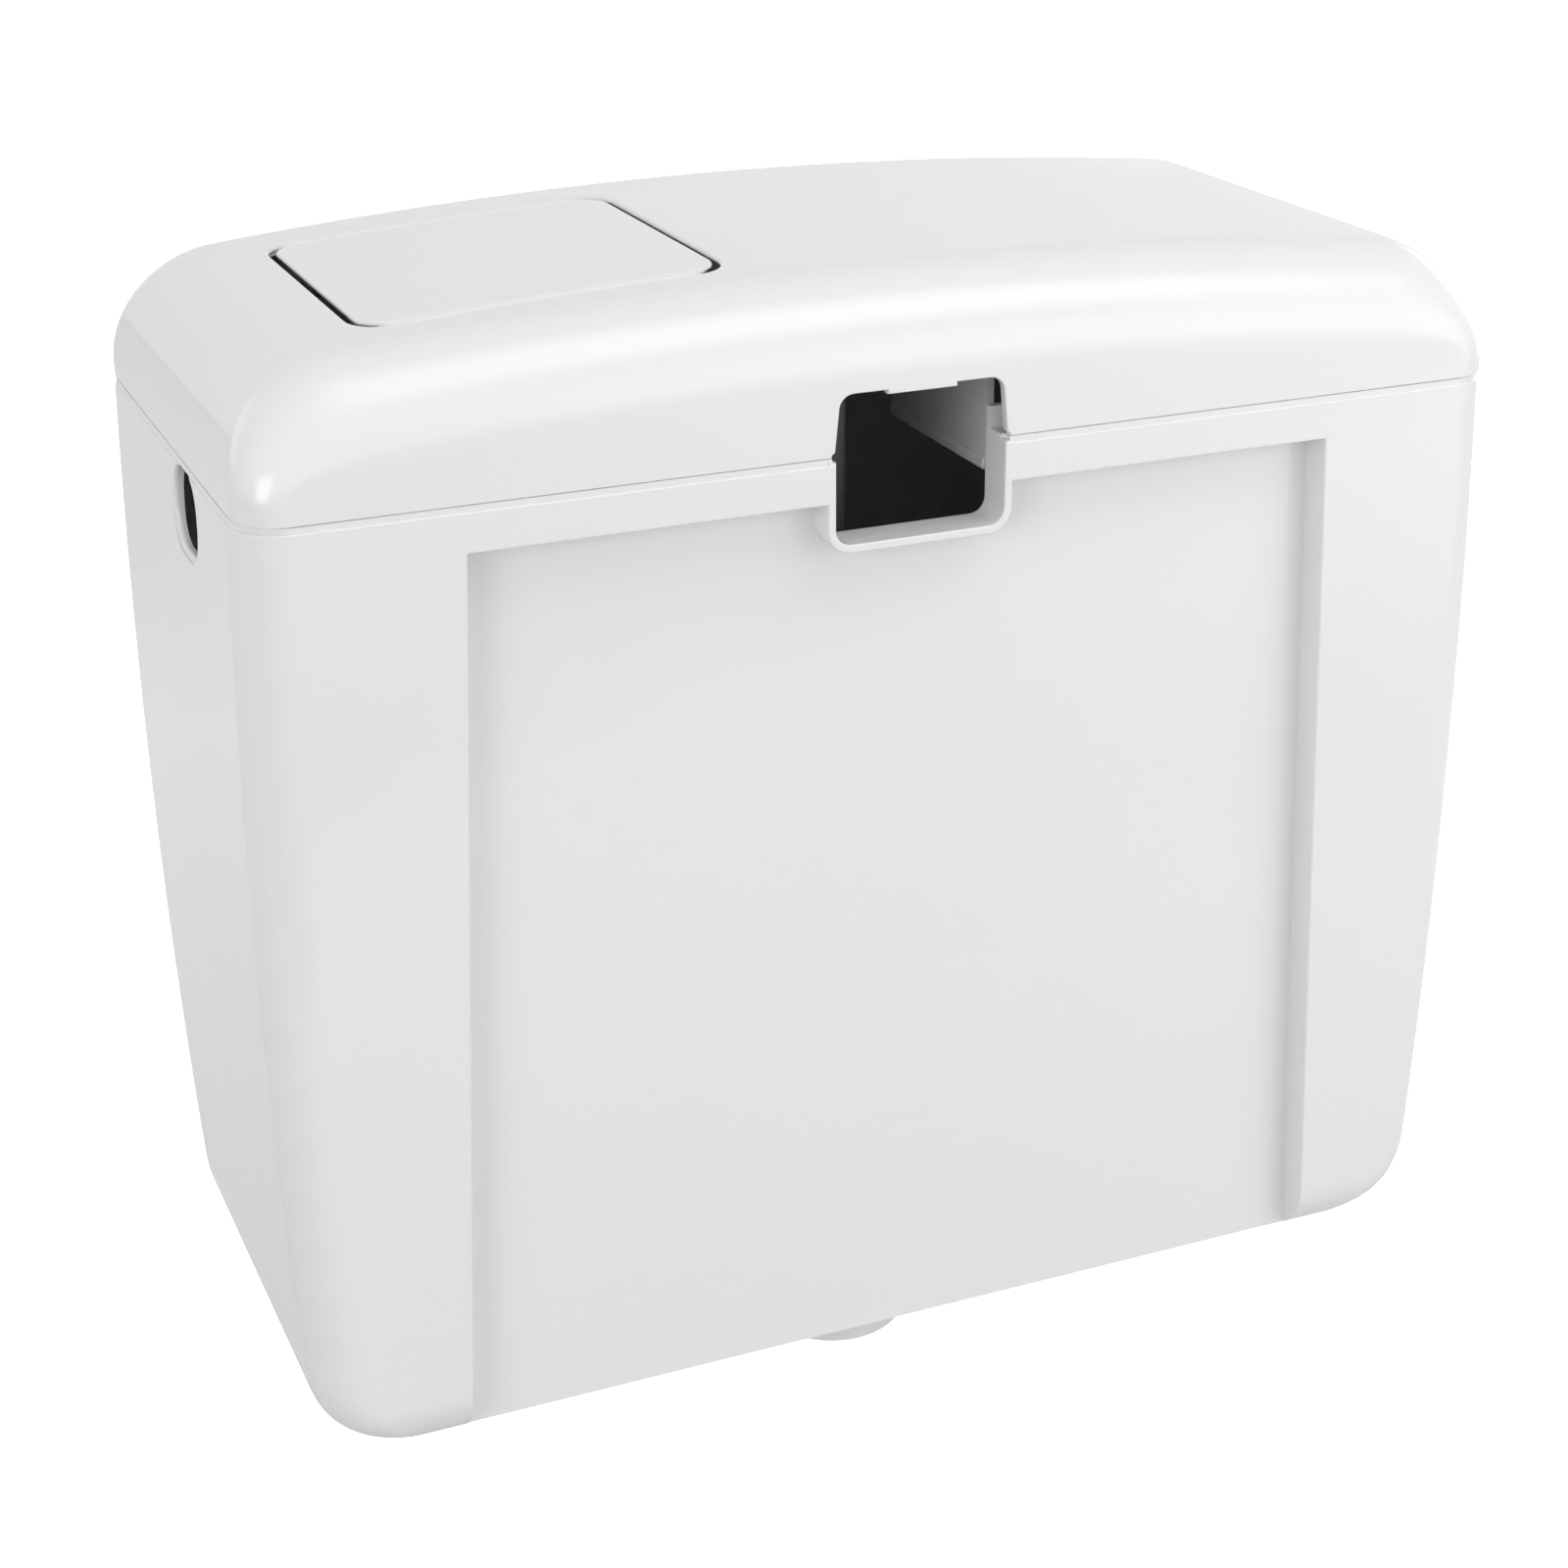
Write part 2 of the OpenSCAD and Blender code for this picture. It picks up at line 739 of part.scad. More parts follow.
module fill_bracket() {
    color("gainsboro")
        difference() {
            union() {
                box(plate_out_x, plate_out_x + bracket_t, fill_y - 19.5, fill_y + 19.5,
                    fill_z - 23.8, fill_z + 7);
                box(plate_out_x, plate_out_x + 14, fill_y - 15, fill_y + 15, fill_z - 23.8, fill_z - 20.8);
            }
            rod_along_x(shank_r + fit, plate_out_x - 2, plate_out_x + bracket_t + 2, fill_y, fill_z);
        }
}

module fill_body() {
    color("white")
        difference() {
            union() {
                rod_along_x(tail_r, inner_x + 5, body_x, fill_y, fill_z);
                rod_along_x(shank_r, plate_out_x - inlet_nut_h - 1, body_x + 1, fill_y, fill_z);
                rod_along_x(body_flange_r, body_x, body_x + 3, fill_y, fill_z);
                rod_along_x(body_r, body_x, body_end, fill_y, fill_z);
                translate([drop_x, fill_y, fill_z - 2 * drop_socket + 1])
                    cylinder(r = drop_r + 2, h = 20);
            }
            rod_along_x(way_r, inner_x, seat_x + 1, fill_y, fill_z);
            rod_along_x(chamber_r, seat_x, body_end + 1, fill_y, fill_z);
            translate([drop_x, fill_y, fill_z - 2 * drop_socket])
                cylinder(r = drop_r + touch, h = drop_socket + 0.5);
            translate([drop_x, fill_y, fill_z - drop_socket - 2.5])
                cylinder(r = drop_r - 1.5, h = drop_socket + 2.5);
        }
}

module inlet_washer() {
    color("dimgray")
        difference() {
            rod_along_x(body_flange_r - 1, body_x - gasket_t + touch, body_x - touch, fill_y, fill_z);
            rod_along_x(shank_r + fit, body_x - 5, body_x + 5, fill_y, fill_z);
        }
}

module inlet_nut() {
    color("white")
        translate([plate_out_x - touch - inlet_nut_h, fill_y, fill_z])
            rotate([0, 90, 0])
                difference() {
                    cylinder(r = shank_r + 5, h = inlet_nut_h, $fn = 6);
                    translate([0, 0, -1])
                        cylinder(r = shank_r + fit, h = inlet_nut_h + 2);
                }
}

module inlet_strainer() {
    color("lightsteelblue")
        difference() {
            union() {
                rod_along_x(7, inner_x + 4, inner_x + 5 - touch, fill_y, fill_z);
                rod_along_x(way_r - fit, inner_x + 4.5, inner_x + 20, fill_y, fill_z);
            }
            rod_along_x(way_r - 0.8, inner_x + 3, inner_x + 19, fill_y, fill_z);
        }
}

module fill_piston() {
    color("gainsboro")
        rod_along_x(piston_r, seat_x + slip + open_gap + seal_h + touch, hinge_x - nose_r - 0.4,
            fill_y, fill_z);
}

module piston_seal() {
    color("dimgray")
        rod_along_x(chamber_r - 1.2, seat_x + slip + open_gap, seat_x + slip + open_gap + seal_h,
            fill_y, fill_z);
}

module fill_cap() {
    color("lightsteelblue")
        difference() {
            union() {
                rod_along_x(body_flange_r, body_end + touch, cap_end, fill_y, fill_z);
                for (s = [-1, 1]) {
                    box(cap_end - 3, hinge_x, fill_y + s * 6 - 1.75, fill_y + s * 6 + 1.75,
                        hinge_z - ear_r, fill_z - 4);
                    rod_along_y(ear_r, hinge_x, fill_y + s * 6 - 1.75, fill_y + s * 6 + 1.75, hinge_z);
                }
            }
            rod_along_x(piston_r + slip, body_end - 1, cap_end + 1, fill_y, fill_z);
            rod_along_y(pin_r + touch, hinge_x, fill_y - 10, fill_y + 10, hinge_z);
        }
}

module fill_axle() {
    color("silver")
        rod_along_y(pin_r, hinge_x, fill_y - 8.5, fill_y + 8.5, hinge_z);
}

module fill_lever() {
    color("lightsteelblue")
        difference() {
            union() {
                rod_along_y(ear_r - 0.8, hinge_x, fill_y - 3.5, fill_y + 3.5, hinge_z);
                box(hinge_x - 1, hinge_x + 3, fill_y - 3.5, fill_y + 3.5, hinge_z, fill_z);
                rod_along_y(nose_r, hinge_x, fill_y - 3.5, fill_y + 3.5, fill_z);
                box(hinge_x, rod_x + 8, fill_y - 2, fill_y + 2, hinge_z - 4.4, hinge_z + 4.4);
            }
            rod_along_y(pin_r + fit, hinge_x, fill_y - 10, fill_y + 10, hinge_z);
            box(rod_x - 1, rod_x + 3, fill_y - 5, fill_y + 5, hinge_z - pin_r - 0.4, hinge_z + pin_r + 0.4);
            for (x = [rod_x - 1, rod_x + 3])
                rod_along_y(pin_r + 0.4, x, fill_y - 5, fill_y + 5, hinge_z);
        }
}

module drop_tube() {
    color("white")
        ring(drop_x, fill_y, drop_foot, fill_z - drop_socket, drop_r - 1.5, drop_r);
}

module float_guide() {
    color("gainsboro")
        difference() {
            union() {
                translate([drop_x, fill_y, guide_z])
                    cylinder(r = drop_r + 3, h = guide_h);
                box(drop_x, rod_x, fill_y - 3, fill_y + 3, guide_z + 1, guide_z + guide_h - 1);
                translate([rod_x, fill_y, guide_z])
                    cylinder(r = float_rod_r + 4, h = guide_h);
            }
            translate([drop_x, fill_y, guide_z - 1])
                cylinder(r = drop_r + fit, h = guide_h + 2);
            translate([rod_x, fill_y, guide_z - 1])
                cylinder(r = float_rod_r + slip, h = guide_h + 2);
        }
}

module float_rod() {
    color("white")
        union() {
            translate([rod_x, fill_y, guide_z - rod_tail])
                cylinder(r = float_rod_r, h = hinge_z - 10 - guide_z + rod_tail);
            translate([rod_x, fill_y, hinge_z - 12])
                cylinder(r = float_rod_r + 3, h = 3);
            for (s = [-1, 1])
                box(rod_x - 3, rod_x + 3, fill_y + s * 3.7 - 1.2, fill_y + s * 3.7 + 1.2,
                    hinge_z - 10, hinge_z + 3);
            rod_along_y(pin_r, rod_x, fill_y - 3.5, fill_y + 3.5, hinge_z);
        }
}

module float_block() {
    color("white")
        ring(rod_x, fill_y, float_z, float_z + float_h, float_rod_r + fit, float_r);
}

module float_clips() {
    color("silver")
        for (z = [float_z - clip_h - touch, float_z + float_h + touch])
            ring(rod_x, fill_y, z, z + clip_h, float_rod_r + touch, float_rod_r + 3.5);
}

tank_shell();
lid_cover();
flush_plate();
rocker_carrier();
rocker_axle();
carrier_screws();
lever_bridge();
lever_pin();
lift_lever();
outlet_spigot();
outlet_washer();
outlet_nut();
valve_cage();
seal_carrier();
valve_seal();
seal_ring();
lift_tube();
valve_float();
lift_rod();
lift_head();
head_nut();
fill_bracket();
fill_body();
inlet_washer();
inlet_nut();
inlet_strainer();
fill_piston();
piston_seal();
fill_cap();
fill_axle();
fill_lever();
drop_tube();
float_guide();
float_rod();
float_block();
float_clips();
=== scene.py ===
# %% [markdown]
# # A wall-hung toilet cistern
# The cistern is a white plastic tank with an arched lid that lifts off. The camera stands behind
# it, on the side that goes to the wall. The solids of the tank, the lid and the works inside come
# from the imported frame, in metres: the wall is Y = 0, the front faces -Y, and Z = 0 is the tank's
# underside. This lesson makes the large white mouldings again with finer curves and softened edges,
# and gives every other solid a finish.

# %% Load the frame
import json
import math

import bmesh
import bpy
from mathutils import Matrix, Vector


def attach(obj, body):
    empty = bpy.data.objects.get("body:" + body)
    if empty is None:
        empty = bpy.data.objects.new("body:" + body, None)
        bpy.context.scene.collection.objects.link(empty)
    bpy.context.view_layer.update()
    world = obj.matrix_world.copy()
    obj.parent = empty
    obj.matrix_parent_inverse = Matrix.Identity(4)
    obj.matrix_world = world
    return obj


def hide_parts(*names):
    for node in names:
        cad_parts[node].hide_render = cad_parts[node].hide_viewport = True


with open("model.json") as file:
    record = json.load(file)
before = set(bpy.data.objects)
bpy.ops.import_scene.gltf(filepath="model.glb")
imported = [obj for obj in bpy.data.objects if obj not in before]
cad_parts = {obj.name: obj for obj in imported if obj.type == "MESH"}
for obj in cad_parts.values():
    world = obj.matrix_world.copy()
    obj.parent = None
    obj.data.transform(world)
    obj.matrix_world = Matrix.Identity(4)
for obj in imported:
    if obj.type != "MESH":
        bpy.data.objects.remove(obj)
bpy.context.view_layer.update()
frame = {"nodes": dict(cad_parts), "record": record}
MM = 0.001

# %% [markdown]
# ## The camera
# The lens and the place of the camera were worked out from the straight edges of the cistern, so
# the picture needs no shift. It is made first, because every later step is judged through it.

# %% Camera
LENS, SENSOR = 65.28, 36.0
CAMERA_AT, CAMERA_TURN = (0.34576, 0.71846, 0.54246), (66.799, 0.319, 157.098)
camera_data = bpy.data.cameras.new("photo_camera")
camera_data.lens, camera_data.sensor_width = LENS, SENSOR
camera = bpy.data.objects.new("photo_camera", camera_data)
camera.location = CAMERA_AT
camera.rotation_euler = [math.radians(a) for a in CAMERA_TURN]
bpy.context.scene.collection.objects.link(camera)
bpy.context.scene.camera = camera
print("camera at", tuple(round(c, 3) for c in camera.location))

# %% [markdown]
# ## Small tools for moulded shapes
# A moulding is drawn as a flat sheet and pulled out step by step, as it would be drawn in a sketch
# and extruded. Each point of the sheet remembers which way is outwards, so a step can also grow or
# shrink the outline. A cutter that grows at its mouth leaves a rounded edge behind, which is
# steadier than rounding a cut edge afterwards.


# %% Sheets and pulls
def flat_sheet(points):
    """A bmesh with one face through the points."""
    bm = bmesh.new()
    bm.faces.new([bm.verts.new(p) for p in points])
    return bm


def rounded_sheet(x0, x1, y0, y1, radius, steps=10):
    """A flat rectangle with rounded corners, at z = 0."""
    bm = flat_sheet([(x0, y0, 0), (x1, y0, 0), (x1, y1, 0), (x0, y1, 0)])
    round_points(bm, bm.verts[:], radius, steps)
    return bm


def round_points(bm, points, radius, steps=10):
    """Rounds corners of a flat sheet."""
    bmesh.ops.bevel(bm, geom=points, offset=radius, offset_type="OFFSET", segments=steps,
                    profile=0.5, affect="VERTICES", material=-1)


def remember_outwards(bm):
    """Keeps with each point the way in which the sheet's outline grows."""
    layer = bm.verts.layers.float_vector.new("outwards")
    face = bm.faces[:][0]
    face.normal_update()
    for loop in face.loops:
        here = loop.vert.co
        before = (here - loop.link_loop_prev.vert.co).normalized().cross(face.normal)
        after = (loop.link_loop_next.vert.co - here).normalized().cross(face.normal)
        loop.vert[layer] = (before + after) / (1 + before.dot(after))
    return layer


def pull(bm, face, move):
    """Extrudes a face and puts each new point where move(point) says."""
    region = [face, *face.edges, *face.verts]
    made = bmesh.ops.extrude_face_region(bm, geom=region)["geom"]
    for v in (g for g in made if isinstance(g, bmesh.types.BMVert)):
        v.co = move(v)
    return next(g for g in made if isinstance(g, bmesh.types.BMFace))


def prism(bm, along, steps):
    """Pulls the only face of a sheet through steps of (distance along, growth).

    A growth is one length, or one for each axis.
    """
    layer = remember_outwards(bm)
    face = bm.faces[:][0]
    at, size = 0.0, Vector((0, 0, 0))
    first = True
    for distance, growth in steps:
        growth = Vector(growth if isinstance(growth, tuple) else (growth, growth, growth))
        shift = along * (distance - at)
        if first:
            for v in bm.verts:
                v.co += shift + v[layer] * growth
            first = False
        else:
            face = pull(bm, face, lambda v: v.co + shift + v[layer] * (growth - size))
        at, size = distance, growth
    return bm


def arc_steps(radius, n=5):
    """(depth, growth) pairs of a rounded mouth, from its edge inwards."""
    angles = [math.pi / 2 * k / n for k in range(n + 1)]
    return [(radius * (1 - math.cos(a)), radius * (1 - math.sin(a))) for a in angles]


def flared_steps(radius, n=5):
    """The same for a cutter: its first pair lies before the surface, so that no point is on it."""
    (_, g0), (d1, g1), *rest = arc_steps(radius, n)
    out = 0.1 * radius
    return [(-out, g0 + (g0 - g1) * out / d1), (d1, g1), *rest]


print("sheet tools ready")

# %% [markdown]
# A bmesh becomes an object at the origin, with its place in its mesh. Larger shapes are then joined
# or cut with the exact Boolean, and the result is kept as a plain mesh.


# %% Objects and carving
def as_object(bm, name, turn=True):
    """Turns a bmesh into an object, with all its faces pointing outwards."""
    if turn:
        bmesh.ops.recalc_face_normals(bm, faces=bm.faces[:])
    mesh = bpy.data.meshes.new(name)
    bm.to_mesh(mesh)
    bm.free()
    piece = bpy.data.objects.new(name, mesh)
    bpy.context.scene.collection.objects.link(piece)
    return piece


def carve(piece, operation, *tools):
    """Joins tools to a piece or cuts them out of it, and removes the tools."""
    for tool in tools:
        step = piece.modifiers.new(operation, "BOOLEAN")
        step.operation, step.solver, step.object = operation, "EXACT", tool
    shown = piece.evaluated_get(bpy.context.evaluated_depsgraph_get())
    mesh = bpy.data.meshes.new_from_object(shown)
    piece.modifiers.clear()
    old = piece.data
    piece.data = mesh
    for mesh_left in [old] + [tool.data for tool in tools]:
        bpy.data.meshes.remove(mesh_left)
    return piece


def block(x0, x1, y0, y1, z0, z1, soft=0.0):
    """A box between two corners, in millimetres, with softened edges."""
    bm = bmesh.new()
    bmesh.ops.create_cube(bm, size=1)
    size = Vector((x1 - x0, y1 - y0, z1 - z0)) * MM
    bmesh.ops.scale(bm, vec=size, verts=bm.verts[:])
    bmesh.ops.translate(bm, vec=Vector((x0 + x1, y0 + y1, z0 + z1)) * MM / 2, verts=bm.verts[:])
    if soft:
        soften(bm, bm.edges[:], soft)
    return as_object(bm, "block")


def soften(bm, edges, width, steps=3, clamp=False):
    """Rounds edges by a width in millimetres, or by less where clamp leaves no room."""
    bmesh.ops.bevel(bm, geom=edges, offset=width * MM, offset_type="OFFSET", segments=steps,
                    profile=0.5, affect="EDGES", clamp_overlap=clamp, material=-1)


def open_edges(piece):
    """How many edges don't join exactly two faces: none, on a sound moulding."""
    bm = bmesh.new()
    bm.from_mesh(piece.data)
    count = sum(len(e.link_faces) != 2 for e in bm.edges)
    bm.free()
    return count


def smooth(piece, angle=28):
    """Smooth shading that keeps edges sharper than the angle, with flat faces kept flat."""
    piece.data.shade_smooth()
    piece.data.set_sharp_from_angle(angle=math.radians(angle))
    even = piece.modifiers.new("even_normals", "WEIGHTED_NORMAL")
    even.keep_sharp = True
    return piece


print("carving tools ready")

# %% [markdown]
# ## The tank
# The tank is a thin moulding: its sides swell a little below the rim and come in again at the foot,
# the front leans back, and all the lower edges are round. It starts as a rounded rectangle at the
# rim and is pulled down ring by ring, each ring moved by what the sides, the back and the front
# have turned in at that height.

# %% Tank form
TANK_W, TANK_D, TANK_H, WALL = 401.0, 188.0, 307.0, 3.0
SWELL, FOOT_IN, FRONT_LEAN = 13.7, 3.8, 20.0
FOOT_R, HEEL_R, TOE_R, CORNER_R = 32.0, 20.0, 12.0, 16.0
RIM_SOFT, LIP_H, LIP_IN, LIP_R = 0.3, 1.9, 0.45, 0.5


def turned_in(radius, depth):
    return 0.0 if depth <= 0 else radius - math.sqrt(max(radius * radius - depth * depth, 0))


def lip(z):
    """How far the narrow lip under the lid stands back at a height."""
    below = (TANK_H - LIP_H - z) / LIP_R
    return LIP_IN * (1 - math.sqrt(1 - (1 - min(max(below, 0), 1)) ** 2) if below > 0 else 1)


def tank_sides(z, inset):
    """Half width, back and front of the tank at a height."""
    u = (TANK_H - z) / TANK_H
    half = TANK_W / 2 + SWELL * u - (SWELL + FOOT_IN) * u * u
    stand = inset or lip(z)
    half -= stand + turned_in(FOOT_R - inset, FOOT_R - z)
    back = -stand - turned_in(HEEL_R - inset, HEEL_R - z)
    front = FRONT_LEAN * u - TANK_D + stand + turned_in(TOE_R - inset, TOE_R - z)
    return half, back, front


def tank_form(top, inset, rings=14, foot_rings=14):
    """The tank's outside, or its hollow, from a top height down to the floor."""
    half, back, front = tank_sides(top, inset)
    bm = rounded_sheet(-half * MM, half * MM, front * MM, back * MM, (CORNER_R - inset) * MM)
    bmesh.ops.translate(bm, vec=(0, 0, top * MM), verts=bm.verts[:])
    rim = bm.edges[:]
    heights = [] if inset else [top - LIP_H - LIP_R * k / 5 for k in range(6)]
    heights += [top + (FOOT_R - top) * k / rings for k in range(1, rings + 1)]
    turns = [math.pi / 2 * (1 - k / foot_rings) for k in range(1, foot_rings + 1)]
    heights += [inset + (FOOT_R - inset) * (1 - math.cos(a)) for a in turns]
    face = bm.faces[:][0]
    middle = (back + front) / 2 * MM
    for z in heights:
        to = tank_sides(z, inset)
        step = [b - a for a, b in zip((half, back, front), to)]
        half, back, front = to

        def move(v):
            side = step[0] if v.co.x > 0 else -step[0]
            depth = step[1] if v.co.y > middle else step[2]
            return Vector((v.co.x + side * MM, v.co.y + depth * MM, z * MM))

        face = pull(bm, face, move)
    return bm, rim


outside, rim = tank_form(TANK_H, 0.0)
soften(outside, rim, RIM_SOFT, 2)
tank = as_object(outside, "tank_moulding")
print("tank outside:", len(tank.data.vertices), "points")

# %% [markdown]
# ## The recess in the back
# A shallow recess runs down the back between two pillars, open at the bottom. The hollow of the
# tank steps round it, so that the wall is the same everywhere. The cutter's mouth is a little wider
# than its floor, which rounds the edge of the recess.

# %% Hollow and recess
RECESS_D, RECESS_W, RECESS_FLARE, BORDER_H = 10.2, 276.0, 13.0, 13.9
RECESS_SOFT, RECESS_FLOOR, BELOW_TANK, LEDGE_H = 0.8, 0.5, 2.0, 4.0
Y_BACK = Vector((0, 1, 0))


def recess_sheet(growth=0.0):
    top = TANK_H - BORDER_H + growth
    half = RECESS_W / 2 + growth
    foot = half + RECESS_FLARE
    corners = ((half, top), (-half, top), (-foot, -BELOW_TANK), (foot, -BELOW_TANK))
    return flat_sheet([(x * MM, 0, z * MM) for x, z in corners])


def mouth(radius, depth, floor_radius=0.0, past=2.0):
    """Steps of a cutter that goes in from Y = 0 with a rounded mouth and a rounded floor."""
    flare = flared_steps(radius)
    steps = [(past * MM, flare[0][1] * MM)] + [(-d * MM, g * MM) for d, g in flare]
    floor = [(depth - d, -g) for d, g in arc_steps(floor_radius)] if floor_radius else [(depth, 0)]
    return steps + [(-d * MM, g * MM) for d, g in reversed(floor)]


hollow = as_object(tank_form(TANK_H - LEDGE_H, WALL, 10, 10)[0], "hollow")
round_steps = [(1 * MM, 0), (-(RECESS_D + WALL) * MM, 0)]
step_round = as_object(prism(recess_sheet(WALL), Y_BACK, round_steps), "step")
carve(hollow, "DIFFERENCE", step_round)
recess = as_object(prism(recess_sheet(), Y_BACK, mouth(RECESS_SOFT, RECESS_D, RECESS_FLOOR)), "recess")
carve(tank, "DIFFERENCE", hollow, recess)
print("tank with hollow and recess:", len(tank.data.polygons), "faces")

# %% [markdown]
# ## The rim, the tongue and the water openings
# A tongue stands up from the rim and centres the lid. The rear opening has a collar that stands out
# to the wall plane, and each side has an opening for a hose. The bridge of the flush lever hangs in
# two notches of the tongue.

# %% Rim and tongue
TONGUE_H, TONGUE_T, TONGUE_IN = 9.0, 2.6, 4.0
NECK_IN = TONGUE_IN + TONGUE_T
BACK_IN = RECESS_D + WALL
TONGUE_Z = TANK_H + TONGUE_H
UP = Vector((0, 0, 1))


def neck_sheet():
    return rounded_sheet((NECK_IN - TANK_W / 2) * MM, (TANK_W / 2 - NECK_IN) * MM,
                         (NECK_IN - TANK_D) * MM, -BACK_IN * MM, (CORNER_R - NECK_IN + 2) * MM, 6)


def heights(*pairs):
    return [(z * MM, growth * MM) for z, growth in pairs]


tongue_sheet = rounded_sheet((TONGUE_IN - TANK_W / 2) * MM, (TANK_W / 2 - TONGUE_IN) * MM,
                             (TONGUE_IN - TANK_D) * MM, (TONGUE_T - BACK_IN) * MM,
                             (CORNER_R - TONGUE_IN + 1) * MM, 6)
tongue_steps = heights((TANK_H - 1, 0), (TONGUE_Z - 0.5, 0), (TONGUE_Z - 0.15, -0.15), (TONGUE_Z, -0.5))
tongue = as_object(prism(tongue_sheet, UP, tongue_steps), "tongue")
carve(tank, "UNION", tongue)
neck_steps = heights((TANK_H - LEDGE_H - 0.5, 0), (TONGUE_Z - 0.5, 0), (TONGUE_Z - 0.15, 0.15),
                     (TONGUE_Z + 1, 0.5))
neck = as_object(prism(neck_sheet(), UP, neck_steps), "neck")
carve(tank, "DIFFERENCE", neck)
print("rim done:", len(tank.data.polygons), "faces")

# %% [markdown]
# The collar of the rear opening reaches the wall plane and has a softened lip there. Inside, two
# cheeks on the far wall hold the bracket of the fill valve. Both could be raised from the tank's
# own faces, but they are simpler as pieces of their own that are joined before anything is cut.

# %% Collar and cheeks
PORT_W, PORT_DROP, COLLAR_T, COLLAR_DROP, COLLAR_R = 54.4, 26.7, 2.6, 0.4, 7.6
COLLAR_LIP = ((0.05, 0.65), (0.2, 0.25), (0.7, 0), (BACK_IN, 0))
SIDE_BACK, SIDE_DROP, HANGER_IN = 71.0, 14.2, 20
CHEEK_Y, CHEEK_T, CHEEK_LOW, CHEEK_TOP, CHEEK_OUT, CHEEK_IN = 20.0, 5.0, 30.0, 7.0, 1.6, 9.0
FILL_Z = TANK_H - SIDE_DROP
INNER_X = WALL - TANK_W / 2
HANGER_X = INNER_X + HANGER_IN


def port_sheet(growth, top, radius):
    half, low = PORT_W / 2 + growth, TANK_H - PORT_DROP - growth
    corners = ((half, top), (-half, top), (-half, low), (half, low))
    bm = flat_sheet([(x * MM, 0, z * MM) for x, z in corners])
    round_points(bm, [v for v in bm.verts if v.co.z < (low + 1) * MM], radius * MM, 8)
    return bm


collar_steps = [(-d * MM, -g * MM) for d, g in COLLAR_LIP]
collar_sheet = port_sheet(COLLAR_T, TANK_H - COLLAR_DROP, COLLAR_R)
collar = as_object(prism(collar_sheet, Y_BACK, collar_steps), "collar")
cheeks = []
for s in (-1, 1):
    y = -SIDE_BACK + s * CHEEK_Y
    cheeks.append(block(INNER_X - CHEEK_OUT, HANGER_X + CHEEK_IN, y - CHEEK_T / 2, y + CHEEK_T / 2,
                        FILL_Z - CHEEK_LOW, FILL_Z + CHEEK_TOP))
carve(tank, "UNION", collar, *cheeks)
print("collar and cheeks joined:", len(tank.data.polygons), "faces")

# %% [markdown]
# The rear opening goes through the collar and the tongue, with a small nick at each upper corner,
# and the tongue is lower behind it. The bridge of the flush lever hangs in notches of the tongue,
# and the bracket of the fill valve in slots of the cheeks. All these cutters are taken out of the
# tank in one go.

# %% Rear opening, notches and slots
PORT_R, PORT_SOFT, SPARE, SLIP = 5.0, 0.7, 1.0, 0.3
LOW_TONGUE, LOW_REACH, LOW_IN, LOW_OUT = 6.6, 12.0, 2.0, 5.0
NICK_OUT, NICK_HALF, NICK_DEEP, NICK_DROP, NICK_SOFT = 0.4, 1.0, 4.0, 1.3, 0.4
SLOT_Y, SLOT_T, SLOT_W, SLOT_LOW, SLOT_TOP = 18.6, 2.2, 4.0, 24.0, 9.0
PLATE_X, BEAM_W, BEAM_T = 100.4, 22.0, 4.0
slots, nicks = [], []
for s in (-1, 1):
    y, reach = -SIDE_BACK + s * SLOT_Y, SLOT_T / 2 + SLIP
    slots.append(block(HANGER_X - SLIP / 2, HANGER_X + SLOT_W + SLIP / 2, y - reach, y + reach,
                       FILL_Z - SLOT_LOW, FILL_Z + SLOT_TOP))
    x = s * (PORT_W / 2 + NICK_OUT)
    nicks.append(block(x - NICK_HALF, x + NICK_HALF, -NICK_DEEP, SPARE,
                       TANK_H - NICK_DROP, TANK_H + SPARE, NICK_SOFT))
port_steps = mouth(PORT_SOFT, BACK_IN + SPARE)
port = as_object(prism(port_sheet(0, TONGUE_Z + SPARE, PORT_R), Y_BACK, port_steps), "port")
low_tongue = block(-PORT_W / 2 - LOW_REACH, PORT_W / 2 + LOW_REACH, -BACK_IN - LOW_IN, -LOW_OUT,
                   TANK_H + LOW_TONGUE, TONGUE_Z + SPARE)
notch = block(PLATE_X - BEAM_W / 2 - SLIP, PLATE_X + BEAM_W / 2 + SLIP, -TANK_D, 0,
              TONGUE_Z - BEAM_T - SLIP, TONGUE_Z + SPARE)
carve(tank, "DIFFERENCE", port, notch, low_tongue, *nicks, *slots)
print("rear opening done:", len(tank.data.polygons), "faces")

# %% [markdown]
# The two side openings are cut with a cutter whose mouth is rounded, which gives the bright lip
# round the hole. The outlet hole in the floor is a plain round one, hidden under the washer.

# %% Side openings and outlet hole
SIDE_W, SIDE_H, SIDE_R, SIDE_MOUTH, SIDE_OUT, SIDE_IN = 30.0, 24.5, 10.0, 1.6, 3, 9
OUTLET_BACK, THREAD_R, FLOOR_CUT = 65.0, 26.5, 8


